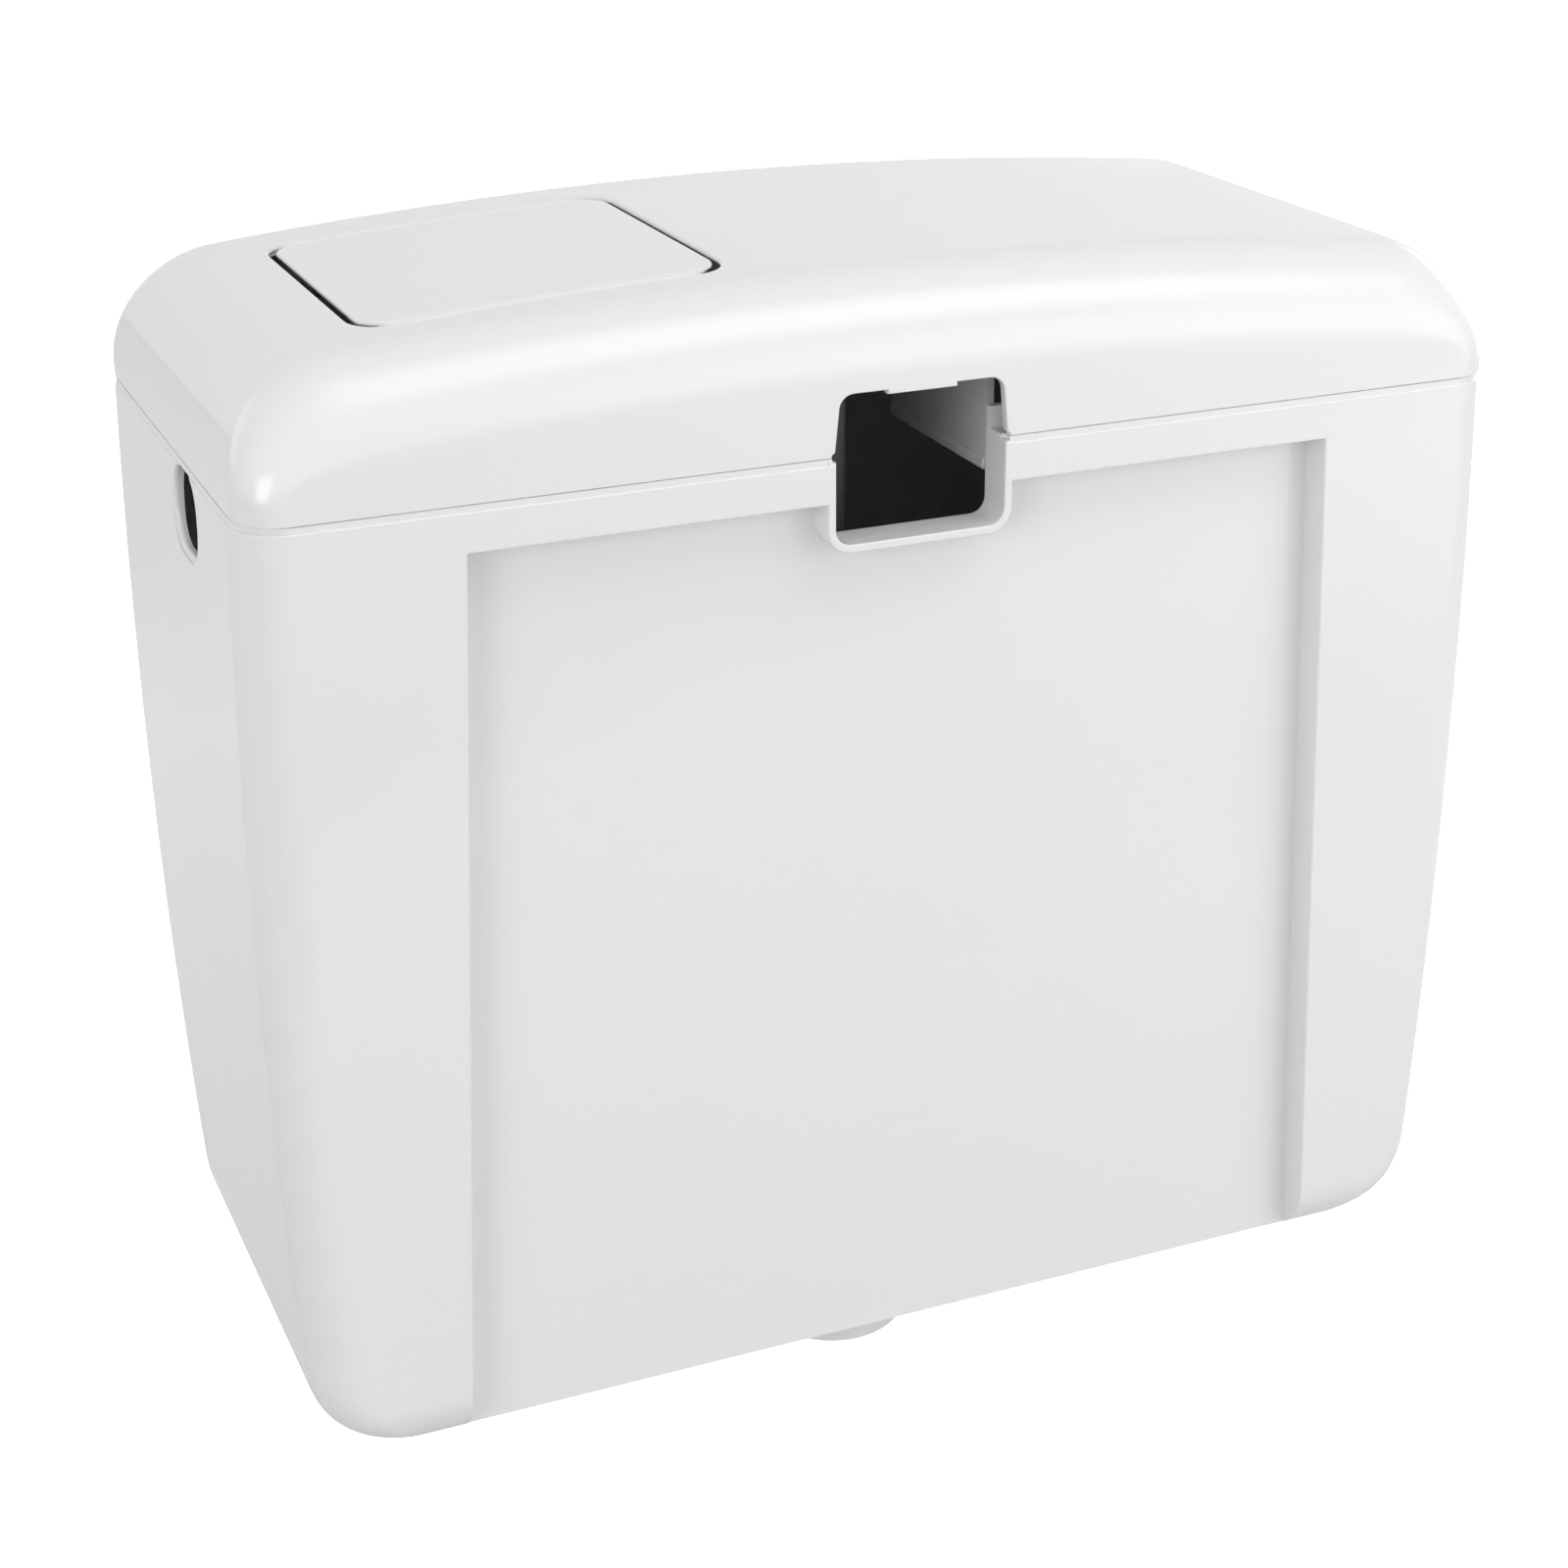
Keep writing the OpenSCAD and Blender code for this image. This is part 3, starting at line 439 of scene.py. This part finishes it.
def side_cutter(sign):
    bm = rounded_sheet((-SIDE_BACK - SIDE_W / 2) * MM, (-SIDE_BACK + SIDE_W / 2) * MM,
                       (FILL_Z - SIDE_H / 2) * MM, (FILL_Z + SIDE_H / 2) * MM, SIDE_R * MM, 8)
    for v in bm.verts:
        v.co = Vector((0, v.co.x, v.co.y))
    face_x = tank_sides(FILL_Z, 0)[0]
    steps = [((face_x + SIDE_OUT) * MM, SIDE_MOUTH * MM)]
    steps += [((face_x - d) * MM, g * MM) for d, g in arc_steps(SIDE_MOUTH, 6)]
    steps += [((face_x - SIDE_IN) * MM, 0)]
    return as_object(prism(bm, Vector((sign, 0, 0)), steps), "side_cutter")


hole = bmesh.new()
bmesh.ops.create_cone(hole, cap_ends=True, segments=64, radius1=(THREAD_R + SLIP) * MM,
                      radius2=(THREAD_R + SLIP) * MM, depth=FLOOR_CUT * MM)
bmesh.ops.translate(hole, vec=(0, -OUTLET_BACK * MM, 1 * MM), verts=hole.verts[:])
carve(tank, "DIFFERENCE", side_cutter(1), side_cutter(-1), as_object(hole, "outlet_hole"))
smooth(tank)
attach(tank, "tank")
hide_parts("tank_shell")
print("tank:", len(tank.data.polygons), "faces,", open_edges(tank), "open edges")

# %% [markdown]
# ## The lid
# Seen from the wall, the lid is an arch with rounded ends. It is drawn as that outline and pulled
# from the wall towards the front. On the way the outline first grows out of the rounded back edge
# and then shrinks again at the front. The edge is rounder along the top than at the two ends, so
# each point keeps its own radius.

# %% Lid outline
LID_W, LID_H, LID_R, LID_END_R = 400.0, 50.0, 1610.0, 37.0
LID_BACK_R, LID_FRONT_R, LID_SIDE_R, LID_WALL, SEAM = 28.0, 24.0, 14.0, 2.8, 0.4
LID_SINK, BASE_SOFT, BASE_TURN = 0.25, 0.5, 1.2
LID_Z = TANK_H + SEAM
END_X = LID_W / 2 - LID_END_R
END_Z = LID_H - LID_R + math.sqrt((LID_R - LID_END_R) ** 2 - END_X ** 2)
END_A = math.atan2(END_Z - LID_H + LID_R, END_X)


def lid_outline():
    """The lid's outline as (x, z, outward x, outward z), in millimetres above its base."""
    half = [(LID_W / 2, 0, 1, 0)]
    for k in range(17):
        a = END_A * k / 16
        nx, nz = math.cos(a), math.sin(a)
        half.append((END_X + LID_END_R * nx, END_Z + LID_END_R * nz, nx, nz))
    for k in range(1, 13):
        a = END_A + (math.pi / 2 - END_A) * k / 12
        nx, nz = math.cos(a), math.sin(a)
        half.append((LID_R * nx, LID_H - LID_R + LID_R * nz, nx, nz))
    return half + [(-x, z, -nx, nz) for x, z, nx, nz in reversed(half[:-1])]


def lid_form(inset, steps=12):
    """The lid's outside, or its hollow."""
    line = lid_outline()
    bm = bmesh.new()
    home = bm.verts.layers.float_vector.new("home")
    facing = bm.verts.layers.float_vector.new("facing")
    points = []
    for x, z, nx, nz in line:
        v = bm.verts.new((x * MM, 0, z * MM))
        v[home] = (x, 0, z)
        v[facing] = (nx, 0, nz)
        points.append(v)
    face = bm.faces.new(points)

    def place(v, angle, top_r, at_back):
        x, _, z = v[home]
        nx, _, nz = v[facing]
        up = max(nz, 0)
        r = LID_SIDE_R + (top_r - LID_SIDE_R) * up * up * (3 - 2 * up) - inset
        shrink = inset + r * (1 - math.sin(angle))
        y = inset + r * (1 - math.cos(angle))
        drop = 0 if z else 1 if inset else LID_SINK
        depth = -y if at_back else y - TANK_D
        return Vector((x - nx * shrink, depth, LID_Z + z - nz * shrink - drop)) * MM

    turns = [math.pi / 2 * k / steps for k in range(steps + 1)]
    for v in bm.verts:
        v.co = place(v, 0, LID_BACK_R, True)
    for a in turns[1:]:
        face = pull(bm, face, lambda v: place(v, a, LID_BACK_R, True))
    for a in reversed(turns):
        face = pull(bm, face, lambda v: place(v, a, LID_FRONT_R, False))
    return bm


outside = lid_form(0.0)
bmesh.ops.recalc_face_normals(outside, faces=outside.faces[:])
base = [e for e in outside.edges if all(abs(v.co.z - (LID_Z - LID_SINK) * MM) < 1e-7 for v in e.verts)
        and len(e.link_faces) == 2 and e.calc_face_angle() > BASE_TURN]
soften(outside, base, BASE_SOFT, 3)
lid = as_object(outside, "lid_moulding")
print("lid outside:", len(lid.data.vertices), "points, base edges", len(base))

# %% [markdown]
# Inside, the lid is hollow, with two webs that hang down on both sides of the rear opening and two
# lugs for the axle of the flush plate. The hollow is the same form with every wall moved in, so the
# lid is evenly thick, and the webs and lugs are plain blocks joined to it.

# %% Lid hollow and webs
WEB_X, WEB_DROP, WEB_T, WEB_END, BEAD, BEAD_SOFT = 36.0, 19.0, 2.2, 96.0, 4.4, 1.2
LUG_W, LUG_T, LUG_GAP, LUG_DROP = 14.0, 5.0, 2.5, 6.0
PLATE_W, PLATE_D, PLATE_T, PLATE_R, PLATE_BACK = 107.2, 111.6, 3.5, 11.0, 92.0
END_GAP, SIDE_GAP, AXLE_DROP = 1.8, 0.7, 8
CROWN_Z = LID_Z + LID_H - LID_R


def arch_z(x):
    """Height of the lid's arched top, in millimetres."""
    return CROWN_Z + math.sqrt(LID_R * LID_R - x * x)


PLATE_TOP = arch_z(PLATE_X)
AXLE_Z = PLATE_TOP - PLATE_T - AXLE_DROP
HOLE_W, HOLE_D = PLATE_W / 2 + END_GAP, PLATE_D / 2 + SIDE_GAP
carve(lid, "DIFFERENCE", as_object(lid_form(LID_WALL, 8), "lid_hollow"))
ribs = []
web_top = LID_Z + LID_H - LID_WALL / 2 - WEB_X ** 2 / (2 * LID_R)
low = TANK_H - WEB_DROP
for s in (-1, 1):
    x = s * WEB_X
    ribs.append(block(x - WEB_T / 2, x + WEB_T / 2, -WEB_END, -LID_BACK_R, low + 1, web_top))
    ribs.append(block(x - BEAD / 2, x + BEAD / 2, -WEB_END, -LID_BACK_R, low, low + BEAD, BEAD_SOFT))
for y in (-PLATE_BACK + HOLE_D + LUG_GAP, -PLATE_BACK - HOLE_D - LUG_GAP - LUG_T):
    ribs.append(block(PLATE_X - LUG_W / 2, PLATE_X + LUG_W / 2, y, y + LUG_T,
                      AXLE_Z - LUG_DROP, PLATE_TOP - LID_WALL / 2))
carve(lid, "UNION", *ribs)
print("lid with webs:", len(lid.data.polygons), "faces")

# %% [markdown]
# The notch over the rear opening has a small step in the middle of its top edge. Half of its line
# is written down and mirrored, and its cutter has a rounded mouth like that of the other openings.

# %% Notch
PORT_RISE, NOTCH_R, NOTCH_SOFT, NOTCH_PAST, STEP_HALF, STEP_H = 18.0, 4.5, 0.5, 3, 11, 1.3
NOTCH_TOP = LID_Z + PORT_RISE
NOTCH_HALF = [(PORT_W / 2 + 1.5, LID_Z - 1), (PORT_W / 2 + 1.4, LID_Z + 0.5),
              (PORT_W / 2 + 0.4, LID_Z + 1.3), (PORT_W / 2 - 0.8, NOTCH_TOP - 5),
              (PORT_W / 2 - 0.9, NOTCH_TOP), (STEP_HALF, NOTCH_TOP), (STEP_HALF, NOTCH_TOP - STEP_H)]
notch_line = NOTCH_HALF + [(-x, z) for x, z in reversed(NOTCH_HALF)]
notch_sheet = flat_sheet([(x * MM, 0, z * MM) for x, z in notch_line])
corner = [v for v in notch_sheet.verts
          if abs(v.co.x) > (STEP_HALF + SPARE) * MM and v.co.z > (NOTCH_TOP - SPARE) * MM]
round_points(notch_sheet, corner, NOTCH_R * MM, 6)
notch_steps = mouth(NOTCH_SOFT, LID_WALL + NOTCH_PAST)
lid_notch = as_object(prism(notch_sheet, Y_BACK, notch_steps), "lid_notch")
print("notch cutter:", len(lid_notch.data.polygons), "faces")

# %% [markdown]
# The flush plate rocks in an opening of the lid. The opening's cutter is a straight prism, laid
# along the lid's arch. Its edge is softly rounded along the two long sides. At the two ends it is
# crisper and steps back below.


# %% Plate opening
def arched(bm, cuts=16):
    """Cuts a straight prism across X and lays it along the lid's arch."""
    xs = [v.co.x for v in bm.verts]
    for k in range(1, cuts):
        x = min(xs) + (max(xs) - min(xs)) * k / cuts
        bmesh.ops.bisect_plane(bm, geom=bm.verts[:] + bm.edges[:] + bm.faces[:], dist=1e-7,
                               plane_co=(x, 0, 0), plane_no=(1, 0, 0))
    for v in bm.verts:
        v.co.z += arch_z(v.co.x / MM) * MM
    return bm


def plate_sheet(half_w, half_d, radius):
    return rounded_sheet((PLATE_X - half_w) * MM, (PLATE_X + half_w) * MM,
                         (-PLATE_BACK - half_d) * MM, (-PLATE_BACK + half_d) * MM, radius * MM, 8)


def rounding(depth, radius):
    """How far a rounded edge still stands back from its side at a depth."""
    return radius - math.sqrt(radius ** 2 - (radius - depth) ** 2) if depth < radius else 0.0


def stepped(depth, start, width):
    """How far a side steps back below its edge, over one millimetre of depth."""
    return width * min(max(depth - start, 0), 1)


EDGE_DEPTHS = (0, 0.03, 0.12, 0.26, 0.46, 0.7, 1.0, 1.35, 1.75, 2.2, 2.7)
FRAME_LONG, FRAME_END, STEP_W, WIDER_LONG, WIDER_END = 4.0, 1.2, 2.0, 0.1, 0.3
CUT_ABOVE, CUT_BELOW = 3, 10


def frame_edge(depth):
    end = rounding(depth, FRAME_END) + stepped(depth, FRAME_END, STEP_W)
    return (end * MM, rounding(depth, FRAME_LONG) * MM, 0)


frame_steps = [(CUT_ABOVE * MM, frame_edge(0))]
frame_steps += [(-d * MM, frame_edge(d)) for d in (*EDGE_DEPTHS, CUT_BELOW)]
hole_sheet = plate_sheet(HOLE_W + WIDER_END, HOLE_D + WIDER_LONG, PLATE_R + SIDE_GAP + WIDER_END)
plate_hole = as_object(arched(prism(hole_sheet, UP, frame_steps)), "plate_hole")
print("plate cutter:", len(plate_hole.data.polygons), "faces")

# %% [markdown]
# The axle of the flush plate turns in both lugs, so one long round cutter makes the two holes, in
# line with each other. The lift lever passes through one web, which gets a gap there. Then all the
# cutters are taken out of the lid.

# %% Axle holes and room for the lever
AXLE_R, FIT, AXLE_SHORT = 2.5, 0.05, 40.0
LEVER_DROP, GAP_W, GAP_D, GAP_TOP = 16, 8.0, 32.0, 18.0
LEVER_Z = AXLE_Z - LEVER_DROP
axle_hole = bmesh.new()
bmesh.ops.create_cone(axle_hole, cap_ends=True, segments=32, radius1=(AXLE_R + FIT) * MM,
                      radius2=(AXLE_R + FIT) * MM, depth=(TANK_D - AXLE_SHORT) * MM)
for v in axle_hole.verts:
    v.co = Vector((v.co.x + PLATE_X * MM, v.co.z - TANK_D / 2 * MM, v.co.y + AXLE_Z * MM))
lever_gap = block(WEB_X - GAP_W / 2, WEB_X + GAP_W / 2,
                  -OUTLET_BACK - GAP_D / 2, -OUTLET_BACK + GAP_D / 2, low - 1, LEVER_Z + GAP_TOP)
carve(lid, "DIFFERENCE", lid_notch, plate_hole, as_object(axle_hole, "axle_hole"), lever_gap)
smooth(lid)
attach(lid, "lid")
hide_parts("lid_cover")
print("lid:", len(lid.data.polygons), "faces,", open_edges(lid), "open edges")

# %% [markdown]
# ## The flush plate
# The plate fills its opening in the lid and follows the arch, with a rounded top edge that catches
# the light along its two long sides. Its two ends have a crisp edge and step back below it, so the
# gaps there look into the dark. It is a rounded sheet pulled down with these edges, then laid on
# the same arch as the lid.

# %% Flush plate
PLATE_LONG, PLATE_END, PLATE_STEP = 4.0, 0.7, 1


def plate_edge(depth):
    end = rounding(depth, PLATE_END) + stepped(depth, PLATE_STEP, STEP_W)
    return (-end * MM, -rounding(depth, PLATE_LONG) * MM, 0)


plate_steps = [(-d * MM, plate_edge(d)) for d in (*EDGE_DEPTHS, PLATE_T)]
seen_sheet = plate_sheet(PLATE_W / 2, PLATE_D / 2 - WIDER_LONG, PLATE_R)
plate = as_object(arched(prism(seen_sheet, UP, plate_steps)), "flush_plate_moulding")
smooth(plate)
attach(plate, "rocker")
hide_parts("flush_plate")
print("plate:", len(plate.data.polygons), "faces")

# %% [markdown]
# ## The works inside
# The frame brings the valves, levers and seals as exact solids with knife-sharp edges, cut into
# loose triangles. Moulded and turned pieces always have slightly rounded edges, and these show as
# thin lights along them. So each solid is copied, its triangles are joined to whole faces, and
# every edge that turns by more than 35 degrees is rounded. The frame's own solids stay, hidden, for
# the joints.

# %% Softened works
EDGE_TURN, FLAT_TURN = math.radians(35), math.radians(0.4)
EDGE_SOFT = {"steel": 0.2, "seal_black": 0.3, "inner_white": 0.4, "inner_grey": 0.4, "inner_blue": 0.5}
slots_of = {row["node"]: row["material_slot"] for row in frame["record"]["subparts"]}


def softened(node, body):
    """A copy of a solid with rounded edges, which rides on the solid's body."""
    bm = bmesh.new()
    bm.from_mesh(frame["nodes"][node].data)
    bmesh.ops.remove_doubles(bm, verts=bm.verts[:], dist=0.001 * MM)
    bmesh.ops.dissolve_limit(bm, angle_limit=FLAT_TURN, verts=bm.verts[:], edges=bm.edges[:])
    sharp = [e for e in bm.edges if len(e.link_faces) == 2 and e.calc_face_angle() > EDGE_TURN]
    soften(bm, sharp, EDGE_SOFT[slots_of[node]], 2, clamp=True)
    piece = smooth(as_object(bm, node + "_piece", turn=False), 40)
    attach(piece, body)
    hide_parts(node)
    return piece


works = {}
for body, nodes in frame["record"]["behaviour"]["bodies"].items():
    for node in nodes:
        if slots_of[node] != "shell_white":
            works[node] = softened(node, body)
print("works:", len(works), "pieces,", sum(len(p.data.polygons) for p in works.values()), "faces")

# %% [markdown]
# ## Finishes
# Shader maths reads best as plain arithmetic, so a small class wraps a socket and adds the Math
# nodes when sockets are added or multiplied. One method makes any other node. The finishes are
# worked out from Object coordinates, so they stay on the pieces when these move.


# %% Shader tools
class Wire:
    """An output socket that takes part in arithmetic."""

    def __init__(self, finish, socket):
        self.finish, self.socket = finish, socket

    def _math(self, operation, a, b):
        return self.finish.node("ShaderNodeMath", {"operation": operation}, {0: a, 1: b})

    def __add__(self, other):
        return self._math("ADD", self, other)

    def __radd__(self, other):
        return self._math("ADD", other, self)

    def __sub__(self, other):
        return self._math("SUBTRACT", self, other)

    def __rsub__(self, other):
        return self._math("SUBTRACT", other, self)

    def __mul__(self, other):
        return self._math("MULTIPLY", self, other)

    def __rmul__(self, other):
        return self._math("MULTIPLY", other, self)


class Finish:
    """A material whose nodes are made one call at a time."""

    def __init__(self, name, tree=None):
        if tree is None:
            self.material = bpy.data.materials.new(name)
            self.material.use_nodes = True
            tree = self.material.node_tree
        self.tree = tree
        self.tree.nodes.clear()

    def node(self, kind, settings=None, sockets=None, out=0):
        made = self.tree.nodes.new(kind)
        for key, value in (settings or {}).items():
            setattr(made, key, value)
        for key, value in (sockets or {}).items():
            if isinstance(value, Wire):
                self.tree.links.new(value.socket, made.inputs[key])
            else:
                made.inputs[key].default_value = value
        return Wire(self, made.outputs[out]) if made.outputs else made

    def place(self):
        return self.node("ShaderNodeTexCoord", out="Object")

    def noise(self, place, scale, detail=2.0, roughness=0.5):
        return self.node("ShaderNodeTexNoise", sockets={
            "Vector": place, "Scale": scale, "Detail": detail, "Roughness": roughness})

    def mix(self, factor, a, b):
        return self.node("ShaderNodeMix", {"data_type": "RGBA"}, {0: factor, 6: a, 7: b}, out=2)

    def bump(self, height, strength, distance):
        return self.node("ShaderNodeBump", sockets={
            "Height": height, "Strength": strength, "Distance": distance})

    def surface(self, **sockets):
        names = {key.replace("_", " "): value for key, value in sockets.items()}
        shader = self.node("ShaderNodeBsdfPrincipled", sockets=names)
        self.node("ShaderNodeOutputMaterial", sockets={"Surface": shader})
        return self.material


def rgb(r, g, b):
    return (r, g, b, 1.0)


print("shader tools ready")

# %% [markdown]
# The shell is glossy white moulded plastic. Its colour drifts very slightly from place to place, as
# in a thick moulding, and a slow, shallow waviness keeps the reflections from being perfectly
# straight.


# %% Shell plastic
def shell_plastic():
    f = Finish("shell_plastic")
    place = f.place()
    drift = f.noise(place, 9.0, 3.0)
    colour = f.mix(drift, rgb(0.775, 0.785, 0.772), rgb(0.800, 0.806, 0.800))
    haze = f.noise(place, 35.0, 4.0, 0.6)
    wave = f.noise(place, 22.0, 1.0)
    grain = f.noise(place, 900.0, 2.0)
    height = wave * 0.9 + grain * 0.04
    return f.surface(Base_Color=colour, Roughness=haze * 0.03 + 0.08, IOR=1.5,
                     Normal=f.bump(height, 0.05, 0.001))


shell = shell_plastic()
for piece in (tank, lid, plate):
    piece.data.materials.clear()
    piece.data.materials.append(shell)
print("shell finish on", tank.name, lid.name, plate.name)

# %% [markdown]
# The works inside are satin mouldings in white, grey and blue, black rubber seals and a few steel
# pins. Each finish has its own grain: fine spark-eroded texture on plastic, a dusty bloom on
# rubber, and drawn lines on steel.


# %% Inner finishes
def satin_plastic(name, dark, light, roughness):
    f = Finish(name)
    place = f.place()
    drift = f.noise(place, 30.0, 3.0)
    grain = f.noise(place, 1600.0, 2.0)
    colour = f.mix(drift, rgb(*dark), rgb(*light))
    return f.surface(Base_Color=colour, Roughness=drift * 0.1 + roughness, IOR=1.5,
                     Normal=f.bump(grain, 0.12, 0.0003))


def black_rubber():
    f = Finish("black_rubber")
    place = f.place()
    bloom = f.noise(place, 60.0, 5.0, 0.65)
    grain = f.noise(place, 1200.0, 2.0)
    colour = f.mix(bloom, rgb(0.016, 0.016, 0.018), rgb(0.045, 0.045, 0.047))
    return f.surface(Base_Color=colour, Roughness=bloom * 0.2 + 0.55, Normal=f.bump(grain, 0.2, 0.0003))


def drawn_steel():
    f = Finish("drawn_steel")
    place = f.place()
    drawn = f.node("ShaderNodeMapping", sockets={"Vector": place, "Scale": (900, 40, 900)})
    lines = f.noise(drawn, 1.0, 3.0)
    colour = f.mix(lines, rgb(0.52, 0.52, 0.53), rgb(0.64, 0.64, 0.65))
    return f.surface(Base_Color=colour, Metallic=1.0, Roughness=lines * 0.15 + 0.22,
                     Normal=f.bump(lines, 0.05, 0.0002))


inner = {
    "inner_white": satin_plastic("inner_white_plastic", (0.72, 0.73, 0.71), (0.78, 0.79, 0.78), 0.32),
    "inner_grey": satin_plastic("inner_grey_plastic", (0.24, 0.26, 0.27), (0.30, 0.32, 0.33), 0.38),
    "inner_blue": satin_plastic("inner_blue_plastic", (0.035, 0.105, 0.27), (0.05, 0.135, 0.32), 0.34),
    "seal_black": black_rubber(),
    "steel": drawn_steel(),
    "shell_white": shell,
}
DARKER = {"lift_rod": "inner_grey", "lift_head": "inner_grey"}
for row in frame["record"]["subparts"]:
    finish = inner[DARKER.get(row["node"], row["material_slot"])]
    for piece in (frame["nodes"][row["node"]], works.get(row["node"])):
        if piece:
            piece.data.materials.clear()
            piece.data.materials.append(finish)

# %% [markdown]
# ## Floor, world and lamps
# The cistern is shown on white. The floor is a plain pale sheet below it that keeps a soft shadow.
# It shines a little towards the camera and in reflections only, which lifts it to white without
# adding light on the cistern. In reflections that glow is dimmer near the cistern and brighter further
# out: painted shade that stands for the cistern's shadow on the floor.

# %% Floor
FLOOR_Z, FLOOR_HALF, FLOOR_EDGE, FLOOR_TURN = -0.30, 12.0, 0.985, math.radians(-26.4)
FLOOR_GREY, SEEN_LIFT = 0.58, 0.95
# The lower mirrored glow near the cistern is painted shade for its shadow on the floor.
NEAR, NEAR_PAINTED_SHADE_LIFT, FAR, FAR_LIFT = 0.3, 0.12, 1.5, 0.52
sheet = bmesh.new()
bmesh.ops.create_grid(sheet, x_segments=1, y_segments=1, size=FLOOR_HALF)
bmesh.ops.translate(sheet, vec=(0, FLOOR_EDGE - FLOOR_HALF, FLOOR_Z), verts=sheet.verts[:])
floor_turn = Matrix.Rotation(FLOOR_TURN, 3, "Z")
bmesh.ops.rotate(sheet, cent=(0, 0, 0), matrix=floor_turn, verts=sheet.verts[:])
floor = as_object(sheet, "floor")


def rays(f):
    """Two wires: 1 for rays from the camera, and 1 for mirrored or clear rays."""
    path = f.tree.nodes.new("ShaderNodeLightPath")
    names = ("Is Camera Ray", "Is Glossy Ray", "Is Transmission Ray")
    seen, glossy, clear = [Wire(f, path.outputs[name]) for name in names]
    return seen, f.node("ShaderNodeMath", {"operation": "MAXIMUM"}, {0: glossy, 1: clear})


f = Finish("pale_floor")
seen, mirrored = rays(f)
diffuse = f.node("ShaderNodeBsdfDiffuse", sockets={"Color": rgb(FLOOR_GREY, FLOOR_GREY, FLOOR_GREY)})
reach = f.node("ShaderNodeVectorMath", {"operation": "LENGTH"}, {0: f.place()}, out="Value")
# The mirrored glow is dimmer near the cistern: painted shade for its shadow on the floor.
lift = f.node("ShaderNodeMapRange", sockets={0: reach, 1: NEAR, 2: FAR, 3: NEAR_PAINTED_SHADE_LIFT, 4: FAR_LIFT})
glow = f.node("ShaderNodeEmission", sockets={"Strength": seen * SEEN_LIFT + mirrored * lift})
both = f.node("ShaderNodeAddShader", sockets={0: diffuse, 1: glow})
f.node("ShaderNodeOutputMaterial", sockets={"Surface": both})
floor.data.materials.append(f.material)
print("floor at", FLOOR_Z)

# %% [markdown]
# The world is an even, pale room. A glossy moulding mirrors it, so its strength is chosen by the
# kind of ray: it is white to the camera, white above the horizon in reflections, and dim below it,
# where the floor ends. As plain light on the cistern it is weaker.

# %% World
AMBIENT, BELOW, HORIZON = 0.5, 0.3, -0.03
world = bpy.data.worlds.new("studio")
world.use_nodes = True
bpy.context.scene.world = world
w = Finish("studio", world.node_tree)
seen, mirrored = rays(w)
toward = w.node("ShaderNodeTexCoord", out="Generated")
height = w.node("ShaderNodeSeparateXYZ", sockets={0: toward}, out=2)
above = w.node("ShaderNodeMath", {"operation": "GREATER_THAN"}, {0: height, 1: HORIZON})
strength = seen + mirrored * (above * (1.0 - BELOW) + BELOW) + (1.0 - seen - mirrored) * AMBIENT
sky = w.node("ShaderNodeBackground", sockets={"Color": rgb(1, 1, 1), "Strength": strength})
w.node("ShaderNodeOutputWorld", sockets={"Surface": sky})
print("world:", world.name)

# %% [markdown]
# The lamps are softboxes on stands round the cistern. A real softbox is brightest in the middle and
# fades towards its cloth edges, and glossy plastic shows that in its rounded edges. So each lamp's
# light fades with its own u and v: the product of two parabolas has a mean of 1/36, and the factor
# puts the lamp's power back.


# %% Lamps
FADE = 36.0


def softbox(name, place, target, width, height, power):
    data = bpy.data.lights.new(name, "AREA")
    data.shape, data.size, data.size_y, data.energy = "RECTANGLE", width, height, power
    data.use_nodes = True
    cloth = Finish(name, data.node_tree)
    across = cloth.node("ShaderNodeNewGeometry", out="Parametric")
    u, v = [cloth.node("ShaderNodeSeparateXYZ", sockets={0: across}, out=k) for k in (0, 1)]
    glow = cloth.node("ShaderNodeEmission", sockets={"Strength": u * (1.0 - u) * v * (1.0 - v) * FADE})
    cloth.node("ShaderNodeOutputLight", sockets={"Surface": glow})
    lamp = bpy.data.objects.new(name, data)
    lamp.location = place
    lamp.rotation_euler = (Vector(target) - Vector(place)).to_track_quat("-Z", "Y").to_euler()
    bpy.context.scene.collection.objects.link(lamp)


# each row: place, target, width and height in metres, power in watts
LAMPS = {
    "strip_softbox": ((-0.55, 0.535, 1.57), (-0.68, -0.03, 0.35), 2.3, 1.1, 8.2),
    "wall_softbox": ((-0.72, 0.8, 0.4), (0, -0.05, 0.22), 1.5, 1.2, 4.8),
    "camera_softbox": ((1.15, 0.8, 0.55), (0, -0.05, 0.22), 0.9, 0.9, 5.8),
    "side_softbox": ((1.3, 0.3, 1.0), (0.1, -0.05, 0.2), 1.0, 1.0, 0.5),
    "plate_softbox": ((1.1, -1.3, 0.7), (0, -0.1, 0.2), 1.0, 1.0, 1.0),
    "front_softbox": ((-0.45, -1.6, 0.15), (0, -0.1, 0.2), 1.1, 0.7, 4.0),
    "far_end_softbox": ((-1.4, -0.6, 0.4), (-0.1, -0.1, 0.2), 1.0, 0.9, 2.5),
}
for name, row in LAMPS.items():
    softbox(name, *row)
bpy.context.scene.view_settings.view_transform = "Standard"

# %% [markdown]
# Last, the view layer is brought up to date.

# %% Update the scene
bpy.context.view_layer.update()
